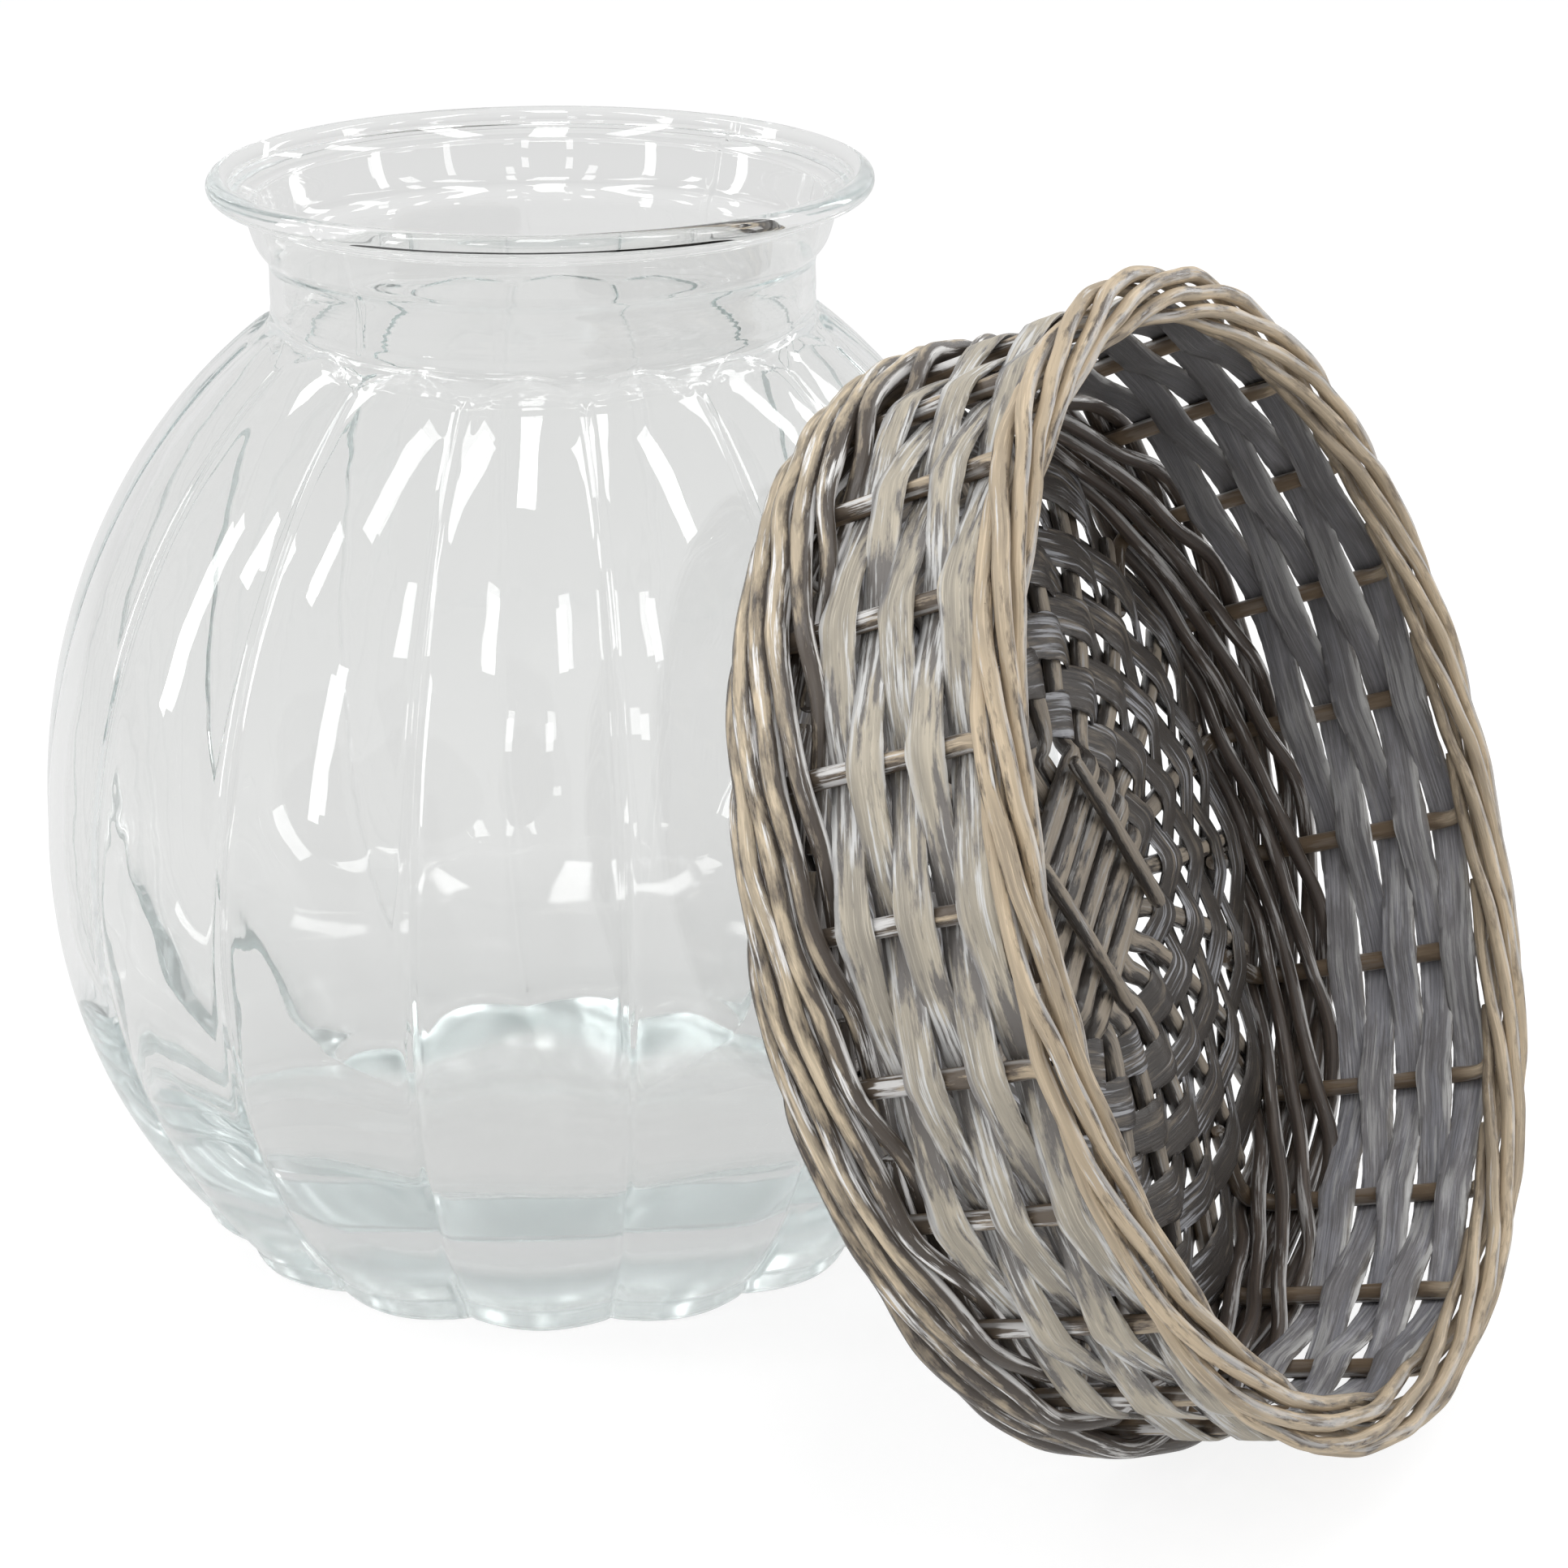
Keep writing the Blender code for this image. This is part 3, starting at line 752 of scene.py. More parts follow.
@dataclass(frozen=True)
class WillowFinish:
    """Washed willow: stained wood rubbed bare on crests, pale wash in streaks, and painted shade.

    Attributes:
        name: Material slot.
        bare: Colour of the wood where the stain is rubbed off.
        stain_and_shade: Colour of the stain, also of painted shade when shade is None.
        stain_share: Share of the surface that keeps its stain.
        wash: Colour of the pale wash.
        wash_share: Share of the surface under the wash.
        crest: How strongly the stain is rubbed off where the strand bulges.
        inside: Colour of the inner face in place of bare wood, partly own and partly painted
            shade.
        inside_spread: How much that colour varies.
        sheltered: How much less stain and wash the inner face has, 0 to 1.
        shade: Colour of the painted shade on the inner face, or None for the stain colour.
        seam_wash: Strength of the wash that stays in the hollows between strands.
        seam: Facing at which the hollows end and begin.
        width: Width of the fibres.
        roughness: Scale of the roughness, which is least where stain is kept.
        relief: Height of the grain.
        softness: Width of the change from bare wood to stain.
        cover: How well the stain covers blots, lines between fibres, and dots.
    """

    name: str
    bare: tuple[float, float, float]
    stain_and_shade: tuple[float, float, float]
    stain_share: float = 0.5
    wash: tuple[float, float, float] = (0.66, 0.66, 0.65)
    wash_share: float = 0.4
    crest: float = 0.35
    inside: tuple[float, float, float] | None = None
    inside_spread: float = 0.25
    sheltered: float = 0.1
    shade: tuple[float, float, float] | None = None
    seam_wash: float = 0.0
    seam: tuple[float, float] = (0.60, 0.30)
    width: float = 0.0007
    roughness: float = 0.88
    relief: float = 0.00022
    softness: float = 0.10
    cover: tuple[float, float, float] = (0.93, 0.45, 0.7)

    blots: ClassVar[Streaks] = Streaks(0.012, 0.0022, 6.0)
    tones: ClassVar[Streaks] = Streaks(0.060, 0.006, 3.0)
    milk: ClassVar[Streaks] = Streaks(0.022, 0.0013, 6.0)
    specks: ClassVar[Streaks] = Streaks(0.0016, 0.0007, 4.0)

    def make(self) -> bpy.types.Material:
        """Build the material.

        Returns:
            The finished material.
        """
        material, sheet = new_material(self.name)
        grain = sheet.add("ShaderNodeAttribute", attribute_name="grain").outputs["Vector"]
        facing = sheet.read("facing")
        fibre = Streaks(0.018, self.width, 4.0).on(sheet, grain)
        blot, tone = self.blots.on(sheet, grain), self.tones.on(sheet, grain)
        square = sheet.maths("ABSOLUTE", facing, 0.0)
        within = sheet.ramp(facing, 0.1, -0.1)
        open_to_air = sheet.maths("SUBTRACT", 1.0, sheet.times(within, self.sheltered))

        # Share of stain, with painted shade from the strand's layer, less on the inner face.
        stained_and_shaded = sheet.times(self.stained_and_shaded(sheet, blot, tone, square), open_to_air)
        line = sheet.ramp(fibre, 0.40, 0.30)
        dot = sheet.ramp(self.specks.on(sheet, grain), 0.70, 0.76)
        colour = self.bare_wood(sheet, within, tone, fibre)
        for share, cover in zip((stained_and_shaded, line, dot), self.cover):
            colour = sheet.mix(sheet.times(share, cover), colour, (*self.stain_and_shade, 1.0))

        milk = self.milk.on(sheet, grain)
        milky = sheet.plus(milk, sheet.times(sheet.read("wash"), 0.24))
        edge = 0.67 - 0.22 * self.wash_share
        pale = sheet.times(sheet.ramp(milky, edge + 0.12, edge + 0.21), open_to_air)
        colour = sheet.mix(pale, colour, (*self.wash, 1.0))
        if self.seam_wash:
            broken = sheet.ramp(sheet.plus(tone, milk), 0.97, 1.05)
            hollow = sheet.times(sheet.ramp(square, *self.seam), broken)
            colour = sheet.mix(sheet.times(hollow, self.seam_wash), colour, (*self.wash, 1.0))
        # Painted shade: the inner face darkens towards the shade colour by the shade layer.
        colour = sheet.mix(sheet.times(within, sheet.read("shade")), colour,
                           (*(self.shade or self.stain_and_shade), 1.0))

        height = sheet.plus(sheet.times(fibre, 0.8), blot)
        bump = sheet.add("ShaderNodeBump", {"Height": height, "Distance": self.relief,
                                            "Strength": 1.0})
        gloss = sheet.times(sheet.ramp(stained_and_shaded, 1.9, -1.3), self.roughness)
        shader = sheet.add(
            "ShaderNodeBsdfPrincipled",
            {"Base Color": colour, "Normal": bump.outputs[0], "Roughness": gloss,
             "Specular IOR Level": 0.4},
        )
        sheet.add("ShaderNodeOutputMaterial", {"Surface": shader.outputs[0]})
        return material

    def stained_and_shaded(self, sheet: NodeSheet, blot: object, tone: object, square: object) -> object:
        """Keep stain in blots, less on crests, more where the layer lays on stain and painted
        shade.

        Args:
            sheet: The material's node sheet.
            blot: Output of the blots.
            tone: Output of the slow change in tone.
            square: Output of how squarely the surface faces in or out, 0 to 1.

        Returns:
            Output of the share of stain and painted shade.
        """
        kept = sheet.plus(sheet.times(blot, 0.75), sheet.times(tone, 0.45))
        bulge = sheet.ramp(square, 0.25, 0.95)
        kept = sheet.maths("SUBTRACT", kept, sheet.times(bulge, self.crest * 0.22))
        # The layer read here holds real stain and painted shade.
        kept = sheet.plus(kept, sheet.times(sheet.read("stain_and_shade"), 0.16))
        level, half = 0.345 + 0.40 * (1 - self.stain_share), self.softness / 2
        return sheet.ramp(kept, level - half, level + half)

    def bare_wood(self, sheet: NodeSheet, within: object, tone: object,
                  fibre: object) -> object:
        """Vary the wood's own colour slowly, and along its fibres.

        Args:
            sheet: The material's node sheet.
            within: Output of the inner face's share.
            tone: Output of the slow change in tone.
            fibre: Output of the fibres.

        Returns:
            Output of the colour.
        """
        red, green, blue = self.bare
        dull = (red * 0.62, green * 0.63, blue * 0.66, 1.0)
        wood = sheet.mix(sheet.ramp(tone, 0.38, 0.62), dull, (*self.bare, 1.0))
        light = (min(red * 1.18, 1), min(green * 1.2, 1), min(blue * 1.24, 1), 1.0)
        wood = sheet.mix(sheet.ramp(fibre, 0.52, 0.72), wood, light)
        if self.inside is None:
            return wood
        # The inner face's colour is partly the wood's own and partly painted shade.
        darkest, lightest = (
            (*(value * level for value in self.inside), 1.0)
            for level in (1 - self.inside_spread, 1 + 1.5 * self.inside_spread)
        )
        inner = sheet.mix(sheet.ramp(fibre, 0.35, 0.68), darkest, lightest)
        inner = sheet.mix(sheet.ramp(tone, 0.60, 0.40), inner, (0.62, 0.63, 0.65, 1.0), "MULTIPLY")
        return sheet.mix(within, wood, inner)


@dataclass(frozen=True)
class GlassFinish:
    """Clear pressed glass with a faint cool tint that deepens where it is thick.

    Attributes:
        name: Material slot.
        tint: Colour of the surface.
        depth_tint: Colour that the glass takes on with depth.
        depth: Strength of that colour.
        waviness: Height of the slow waves in the surface.
        ripples: Share of the chill marks in the waves.
        marked: Heights at which the chill marks begin, are full, fade and end.
        foot_haze: Roughness at the foot, where pressed glass is least clear.
        clear: Heights at which the haze is full and has ended.
    """

    name: str = "clear_glass"
    tint: tuple[float, float, float] = (0.94, 0.943, 0.938)
    depth_tint: tuple[float, float, float] = (0.82, 0.865, 0.865)
    depth: float = 7.0
    waviness: float = 0.0007
    ripples: float = 0.18
    marked: tuple[float, float, float, float] = (0.238, 0.247, 0.254, 0.264)
    foot_haze: float = 0.15
    clear: tuple[float, float] = (0.008, 0.066)

    def make(self) -> bpy.types.Material:
        """Build the material.

        Returns:
            The finished material.
        """
        material, sheet = new_material(self.name)
        place = sheet.add("ShaderNodeTexCoord").outputs["Object"]
        level = sheet.add("ShaderNodeSeparateXYZ", {0: place}).outputs[2]
        waves = sheet.noise(place, (26.0, 26.0, 26.0), 2.0)
        height = sheet.plus(waves, self.chill_marks(sheet, place, level))
        bump = sheet.add("ShaderNodeBump", {"Height": height, "Distance": self.waviness,
                                            "Strength": 0.6})
        full, ended = self.clear
        haze = sheet.times(sheet.ramp(level, ended, full), self.foot_haze)
        shader = sheet.add(
            "ShaderNodeBsdfPrincipled",
            {"Base Color": (*self.tint, 1.0), "Roughness": haze, "IOR": 1.5,
             "Transmission Weight": 1.0, "Normal": bump.outputs[0]},
        )
        depth = sheet.add("ShaderNodeVolumeAbsorption", {"Color": (*self.depth_tint, 1.0),
                                                         "Density": self.depth})
        sheet.add("ShaderNodeOutputMaterial", {"Surface": shader.outputs[0],
                                               "Volume": depth.outputs[0]})
        return material

    def chill_marks(self, sheet: NodeSheet, place: object, level: object) -> object:
        """Add the fine level ripples that pressing leaves on the cooled neck.

        Args:
            sheet: The material's node sheet.
            place: Output of the place on the glass.
            level: Output of its height.

        Returns:
            Output of the ripples' height.
        """
        begin, full, fade, end = self.marked
        lines = sheet.noise(place, (26.0, 26.0, 420.0), 2.0)
        share = sheet.times(sheet.ramp(level, begin, full), sheet.ramp(level, end, fade))
        return sheet.times(lines, sheet.times(share, self.ripples))


@dataclass
class Vase:
    """The pressed glass vase."""

    sizes: VaseSizes
    finish: GlassFinish = field(default_factory=GlassFinish)

    def outer_profile(self) -> list[tuple[float, float]]:
        """Draw the outer face.

        Returns:
            Its profile (radius, height) from the foot to the top of the rim.
        """
        s = self.sizes
        heel = s.body_radius(s.heel)
        points = [(0.0, 0.0), (0.5 * heel, 0.0)]
        for turn in np.linspace(0, math.radians(70), 6):
            points.append((heel - s.heel * (1 - math.sin(turn)), s.heel * (1 - math.cos(turn))))
        root = s.neck_root()
        # The rows are close together where the grooves end in arches.
        low = list(np.linspace(s.heel, root - 0.014, 52))
        high = list(np.linspace(root - 0.0126, root - 0.0047, 14))
        points += [(s.body_radius(height), height) for height in low + high]
        points += self.neck_profile(0.0)
        return points + self.rim(-70, 90, 12)

    def rim(self, first: float, last: float, count: int) -> list[tuple[float, float]]:
        """Draw a stretch of the rolled rim.

        Args:
            first: Angle at which it starts, in degrees up from straight outward.
            last: Angle at which it ends.
            count: Number of points.

        Returns:
            Its points (radius, height).
        """
        s = self.sizes
        angles = [math.radians(turn) for turn in np.linspace(first, last, count)]
        return [(s.rim_radius + s.rim_roll * math.cos(angle),
                 s.rim_height + s.rim_roll * math.sin(angle)) for angle in angles]

    def neck_profile(self, inset: float) -> list[tuple[float, float]]:
        """Draw the neck and its flare, from the shoulder up.

        Args:
            inset: Distance inside the outer face.

        Returns:
            Points (radius, height) of a smooth curve.
        """
        s = self.sizes
        root = s.neck_root()
        shoulder = [(s.body_radius(height) - inset, height)
                    for height in (root - 0.0040, root - 0.0018)]
        neck = [(s.neck_radius - inset + out, height) for out, height in (
            (0.0006, root + 0.0004), (0, root + 0.0030), (0, root + 0.007),
            (0, s.neck_top - 0.0022), (0.0007, s.neck_top - 0.0002),
            (0.0030, s.neck_top + 0.0030),
        )]
        flare = ((s.neck_radius + s.rim_radius) / 2 - inset, s.neck_top + 0.0126 + inset / 2)
        curve = [*shoulder, *neck, flare]
        points = np.array([(radius, 0.0, height) for radius, height in curve])
        return [(float(x), float(z)) for x, _, z in smooth_path(points, 0.0009)]

    def inner_profile(self) -> list[tuple[float, float]]:
        """Draw the inner face.

        Returns:
            Its profile (radius, height) from the top of the rim to the floor.
        """
        s = self.sizes
        points = self.rim(105, 200, 7)
        points += reversed(self.neck_profile(s.wall))
        root = s.neck_root()
        for height in np.linspace(root - 0.005, s.belly_height, 28):
            points.append((s.bowl_radius(height), height))
        # The rows crowd towards the floor, whose edge is tightly rounded.
        for share in np.linspace(1, 0, 30)[1:]:
            height = s.floor + (s.belly_height - s.floor) * share**2.2
            points.append((s.bowl_radius(height), height))
        last = points.pop()
        edge = points[-1]
        for share in (0.94, 0.86, 0.7, 0.5, 0.25):
            lift = (edge[1] - last[1]) * share**3
            points.append((edge[0] * share, last[1] + lift))
        points.append((0.0, s.floor))
        return points

    def lobed_angle(self, angle: float) -> tuple[float, float]:
        """Crowd the columns of the spun mesh towards the grooves.

        Args:
            angle: Angle of a column as it was spun.

        Returns:
            The column's new angle, and how near it is to a crest: 0 in a groove, 1 on a crest.
        """
        s = self.sizes
        lobe = FULL_TURN / s.lobes
        number = round(angle / lobe)
        across = 2 * (angle / lobe - number)
        across = math.copysign(1 - (1 - abs(across)) ** s.column_crowding, across)
        moved = s.lobe_turn + (number + across / 2 + 0.5) * lobe
        return moved, math.cos(math.pi / 2 * across)

    def inward(self, radius: float, angle: float, crest: float, height: float,
               outside: bool) -> float:
        """Press grooves, creases, arches and the mould seam into the spun profile.

        Args:
            radius: Radius of the point.
            angle: Its angle.
            crest: How near it is to the crest of a lobe, 0 to 1.
            height: Its height.
            outside: True on the outer face.

        Returns:
            How far the point moves inward.
        """
        s = self.sizes
        ring = s.neck_root() + s.arch_edge
        if height > ring:
            if not outside:
                return 0.0
            off = abs(math.remainder(angle - s.seam_turn, math.pi))
            return -s.seam_relief * math.exp(-((off * radius / s.seam_width) ** 2))
        softness = s.groove_softness[0 if outside else 1]
        groove = 1 - math.sqrt(crest**2 + softness**2) + softness**2 / 2
        top = s.arch_height - s.arch_rise * (1 - crest) ** 0.8
        over = min(max((height - top) / s.arch_edge + 0.5, 0), 1)
        over = over * over * (3 - 2 * over)
        fade = min((ring - height) / (ring - s.arch_height), 1)
        depth = (1 - over) * s.groove(height) * groove + over * s.arch_step * fade
        if not outside:
            risen = min(max((height - s.floor) / (s.belly_height - s.floor), 0), 1)
            return s.inside_share * risen**s.inside_fade * depth
        away = math.asin(min(crest, 1)) * 2 / s.lobes * radius
        crease = s.crease_depth * math.exp(-((away / s.crease_reach) ** 2))
        return depth + (1 - over) * crease

    def press(self, vertex: bmesh.types.BMVert, outside: bool) -> None:
        """Move a vertex of the spun body to its place on the lobed glass.

        Args:
            vertex: The vertex.
            outside: True on the outer face.
        """
        x, y, height = vertex.co
        radius = math.hypot(x, y)
        if radius > 1e-6:
            angle, crest = self.lobed_angle(math.atan2(y, x))
            radius -= self.inward(radius, angle, crest, height, outside)
            vertex.co = (radius * math.cos(angle), radius * math.sin(angle), height)

    def build(self) -> bpy.types.Object:
        """Spin the profile and press the lobes into it.

        Returns:
            The vase.
        """
        s = self.sizes
        bm = bmesh.new()
        outer = self.outer_profile()
        profile = outer + self.inner_profile()
        side = bm.verts.layers.int.new("outside")
        chain = [bm.verts.new((radius, 0, height)) for radius, height in profile]
        for index, vertex in enumerate(chain):
            vertex[side] = int(index < len(outer))
        edges = [bm.edges.new(pair) for pair in zip(chain, chain[1:])]
        bmesh.ops.spin(
            bm, geom=chain + edges, axis=(0, 0, 1), cent=(0, 0, 0), angle=FULL_TURN,
            steps=s.lobes * s.columns_per_lobe, use_merge=True,
        )
        bmesh.ops.remove_doubles(bm, verts=bm.verts, dist=1e-6)
        for vertex in bm.verts:
            self.press(vertex, bool(vertex[side]))
        piece = finished("pressed_glass_vase", bm, self.finish.make())
        piece.data.set_sharp_from_angle(angle=math.pi)
        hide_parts("glass_vase")
        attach(piece, Body.VASE.value)
        LOG.info("%s: %d faces", piece.name, len(piece.data.polygons))
        return piece


@dataclass
class Basket:
    """The wicker basket, strand by strand."""

    sizes: BasketSizes
    step: float = 0.0018
    border_rods: WillowFinish = WillowFinish(
        "tan_willow", bare=(0.60, 0.482, 0.335), stain_and_shade=(0.085, 0.066, 0.052), stain_share=0.38,
        wash=(0.68, 0.67, 0.66), wash_share=0.30, crest=0.6, seam_wash=0.5,
        sheltered=0.3, shade=(0.150, 0.105, 0.066),
    )
    foot_rods: WillowFinish = WillowFinish(
        "brown_willow", bare=(0.68, 0.56, 0.395), stain_and_shade=(0.046, 0.037, 0.034),
        stain_share=1.12, wash=(0.88, 0.87, 0.86), wash_share=0.36, crest=1.7,
        inside=(0.125, 0.092, 0.066), inside_spread=0.50, sheltered=0.45, seam_wash=0.95,
        seam=(0.50, 0.28), softness=0.19,
    )
    side_strips: WillowFinish = WillowFinish(
        "grey_split_willow", bare=(0.52, 0.465, 0.37), stain_and_shade=(0.15, 0.14, 0.135),
        stain_share=0.30, wash_share=0.50, inside=(0.41, 0.405, 0.432), inside_spread=0.30,
        sheltered=0.45, shade=(0.108, 0.104, 0.104), seam_wash=0.7,
        seam=(0.22, 0.08), width=0.0005,
    )
    base_skein: WillowFinish = WillowFinish(
        "dark_split_willow", bare=(0.305, 0.255, 0.195), stain_and_shade=(0.032, 0.031, 0.034),
        stain_share=0.62, wash=(0.43, 0.435, 0.46), wash_share=0.40, width=0.0005,
        softness=0.15,
    )
    base_sticks: WillowFinish = WillowFinish(
        "grey_willow_stick", bare=(0.33, 0.28, 0.22), stain_and_shade=(0.045, 0.040, 0.038),
        stain_share=0.66, wash=(0.38, 0.37, 0.36), wash_share=0.36, crest=1.1,
    )

    materials: dict[str, bpy.types.Material] = field(default_factory=dict)

    def add(self, strand: Strand, node: str, finish: WillowFinish) -> None:
        """Build a strand in place of its solid.

        Args:
            strand: The strand.
            node: The solid that it stands for.
            finish: Its finish.
        """
        if finish.name not in self.materials:
            self.materials[finish.name] = finish.make()
        piece = strand.build(self.sizes.placement(), self.materials[finish.name])
        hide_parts(node)
        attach(piece, Body.BASKET.value)
        LOG.info("%s: %d faces", piece.name, len(piece.data.polygons))

    def border_track(self, share: np.ndarray) -> tuple[np.ndarray, np.ndarray]:
        """Wind a border rod about the border's middle line.

        Args:
            share: Shares of its run, 0 at its stake and 1 at its tip.

        Returns:
            Its offsets outward and upward there.
        """
        s = self.sizes
        angles = np.linspace(s.border_start, s.border_end, 241)
        track = np.stack([s.border_half_width * np.cos(angles),
                          s.border_half_height * np.sin(angles)], axis=1)
        along = travelled(track)
        spot = resampled(track, along, share * along[-1])
        return spot[:, 0], spot[:, 1]

    def stake_line(self) -> tuple[np.ndarray, np.ndarray]:
        """Lead the stake at angle 0 from the base up the side and along the border.

        Returns:
            Its guide points, and each point's share of the run in the border.
        """
        s = self.sizes
        corner_radius, corner_height = s.band_place(0, 0)
        middle = (s.stake_start + s.base_radius) / 2
        spots = [
            (s.stake_start, 0, float(s.base_height(s.stake_start))),
            (middle, 0, float(s.base_height(middle))),
            (s.wall_at_foot - s.stake_bend, 0, s.base_edge),
            (corner_radius, 0, corner_height),
            (s.wall_at_foot, 0, s.bend_top),
        ]
        for height in np.linspace(s.bend_top + 0.006, s.border_height - 0.014, 4):
            spots.append((float(s.wall_radius(height)), 0, height))
        lowest = s.border_height - s.border_half_height
        for turn in (0, 45, 90):
            angle = math.radians(turn)
            along = s.border_bend * (1 - math.cos(angle)) / s.wall_at_border
            height = lowest - s.border_bend * (1 - math.sin(angle))
            spots.append((float(s.wall_radius(height)), along, height))
        fixed = len(spots)
        bend_end = s.border_bend / (s.wall_at_border * s.spacing)
        passed = np.arange(1, 2 * s.border_spacings + 2) / 2
        share = (passed - bend_end) / (s.border_spacings - bend_end)
        outward, upward = self.border_track(share)
        tail = np.stack([s.wall_at_border + outward, passed * s.spacing,
                         s.border_height + upward], axis=1)
        spots = np.vstack([np.array(spots), tail])
        shares = np.concatenate((np.zeros(fixed), share))
        return polar(spots[:, 0], spots[:, 1], spots[:, 2]), shares

    def turned(self, points: np.ndarray, angle: float) -> np.ndarray:
        """Return points turned about the basket's axis."""
        c, s = math.cos(angle), math.sin(angle)
        return points @ np.array([[c, s, 0], [-s, c, 0], [0, 0, 1]])

    def above_floor(self, points: np.ndarray, size: np.ndarray) -> np.ndarray:
        """Lift a strand where it would reach below the floor.

        Args:
            points: Its middle line.
            size: Its size at each point.

        Returns:
            The lifted points.
        """
        upward = np.array(self.sizes.placement())[2]
        lowest = points @ upward[:3] + upward[3] - size / 2
        return points + np.clip(-lowest, 0, None)[:, None] * upward[:3]

    def stakes(self) -> None:
        """Build the stakes with their border tails."""
        s = self.sizes
        guide, shares = self.stake_line()
        for index in range(s.stakes):
            rng = np.random.default_rng(Seed.STAKE_PATHS + index)
            points = smooth_path(guide, self.step)
            along = travelled(points)
            share = np.interp(along, np.linspace(0, along[-1], len(shares)), shares)
            rise = points[:, 2]
            in_border = share_between(rise, s.border_height - 0.012, s.border_height - 0.006)
            outward = points[:, :2] / np.hypot(points[:, 0], points[:, 1])[:, None]
            points[:, :2] += outward * (wander(along, rng, 0.07, 0.0006) * in_border)[:, None]
            points[:, 2] += wander(along, rng, 0.06, 0.0005) * in_border
            size = s.stake + share * (s.stake_tip - s.stake)
            size = size * (1 + wander(along, rng, 0.05, 0.04) + rng.uniform(-0.05, 0.05))
            size = size * (s.stake_swell - s.border_slimming * in_border)
            # Painted shade: the stakes darken and lose wash below the foot band, where they show
            # between its rods,
            # their border tails darken where they dive under others, and their inner faces darken
            # below the border.
            dives = 0.8 * share_between(share, 0.72, 1)
            painted_band_shade = share_between(rise, s.band_height, s.band_height - 0.004)
            strand = Strand(f"border_stake_{index + 1:02d}",
                            self.turned(points, index * s.spacing), size, size * 0.97,
                            wash=1.25 - 0.80 * share_between(rise, 0.0345, 0.0495) - painted_band_shade,
                            stain_and_shade=np.maximum(1 - in_border, dives) + 1.2 * painted_band_shade,
                            shade=np.maximum(0.85 * (1 - in_border), 0.1 * dives),
                            seed=Seed.STAKES + index)
            self.add(strand, f"stake_{index + 1:02d}", self.border_rods)

    def foot(self) -> None:
        """Build the foot band of rods that climb outside and come back inside."""
        s = self.sizes
        track = s.foot_track()
        start = 2 * (s.stakes_outside + 1)
        halves = np.arange(start, start + 2 * s.stakes + 1)
        stroke = halves % len(track)
        radii, heights = track[stroke].T
        outside = share_between(radii, 0.126, 0.130)
        middle = s.stakes_outside
        buried = share_between(np.abs(stroke - middle), middle - 3, middle)
        for index in range(s.foot_rods):
            rng = np.random.default_rng(Seed.FOOT_PATHS + index)
            angles = ((halves + 1) / 2 + index) * s.spacing
            loose = rng.normal(0, 0.0005, (2, len(halves)))
            loose[:, [0, -1]] = 0
            points = polar(radii + np.abs(loose[0]) * outside, angles, heights + loose[1])
            points = smooth_path(points, self.step)
            run = travelled(points)
            passed = np.unwrap(np.arctan2(points[:, 1], points[:, 0]))
            dives = np.interp(passed - passed[0], angles - angles[0], buried)
            size = s.foot_rod * (s.foot_swell + wander(run, rng, 0.07, 0.08)
                                 - s.foot_slimming * dives)
            points = self.above_floor(points, size)
            # Painted shade: the rods darken where they dive under others and towards the basket's
            # lowest side,
            # and their inner faces darken where they dive.
            low = np.clip(-points[:, 1] / s.wall_at_foot, 0, 1)
            wash = np.clip(0.55 + wander(run, rng, 0.08, 0.4), 0, 1)
            points, size, wash, stain_and_shade, shade = (
                values[1:-1] for values in (points, size, wash, dives + low, 0.3 * dives))
            strand = Strand(f"foot_band_rod_{index + 1}", points, size, size, wash=wash,
                            stain_and_shade=stain_and_shade, shade=shade, seed=Seed.FOOT_RODS + index)
            self.add(strand, f"foot_rod_{index + 1}", self.foot_rods)

    def side(self) -> None:
        """Build the flat strips of the side."""
        s = self.sizes
        reach = s.stake / 2 + s.gap + s.side_thickness / 2
        lean = math.atan2(s.wall_at_border - s.wall_at_foot, s.border_height - s.bend_top)
        rest = s.side_rest * s.stake / s.wall_at_border
        for row in range(s.side_rows):
            rng = np.random.default_rng(Seed.SIDE_PATHS + row)
            start = s.stakes // 2 + (s.stakes // 2 + row) % 2
            numbers = np.arange(start, start + s.stakes + 1)
            fine, swing = weave(numbers * s.spacing, np.where((numbers + row) % 2, 1.0, -1.0),
                                rest, 640, s.side_blend / s.wall_at_border)
            run = fine * s.wall_at_border
            height = s.first_side_row + row * s.side_pitch + wander(run, rng, 0.067, 0.0003)
            points = polar(s.wall_radius(height) + swing * reach, fine, height)
            tip = wander(run, rng, 0.05, 0.10)
            across = polar(np.sin(lean + tip), fine, np.cos(lean + tip))
            widths = s.side_width * (s.side_swell + s.side_bulge * swing**2
                                     + wander(run, rng, 0.12, 0.04))
            thick = s.side_thickness * (1 + wander(run, rng, 0.08, 0.1))
            # Painted shade: more stain and painted shade where the strip passes behind a stake,
            # and the inner face darkens towards the top of the basket's inside.
            wash = np.clip(0.60 - 0.2 * swing + wander(run, rng, 0.09, 0.35), 0, 1)
            stain_and_shade = np.clip(0.25 - 0.6 * swing + wander(run, rng, 0.11, 0.3), -0.6, 1)
            raised = points[:, 1] / s.wall_at_border
            shade = np.clip(0.46 + 0.44 * raised + wander(run, rng, 0.13, 0.12), 0, 0.95)
            points, across, widths, thick, wash, stain_and_shade, shade = (
                values[1:-1] for values in (points, across, widths, thick, wash, stain_and_shade, shade))
            strand = Strand(f"split_side_strip_{row + 1}", points, widths, thick, Section.SPLIT,
                            across=across, wash=wash, stain_and_shade=stain_and_shade, shade=shade,
                            seed=Seed.SIDE_STRIPS + row)
            self.add(strand, f"side_strip_{row + 1}", self.side_strips)

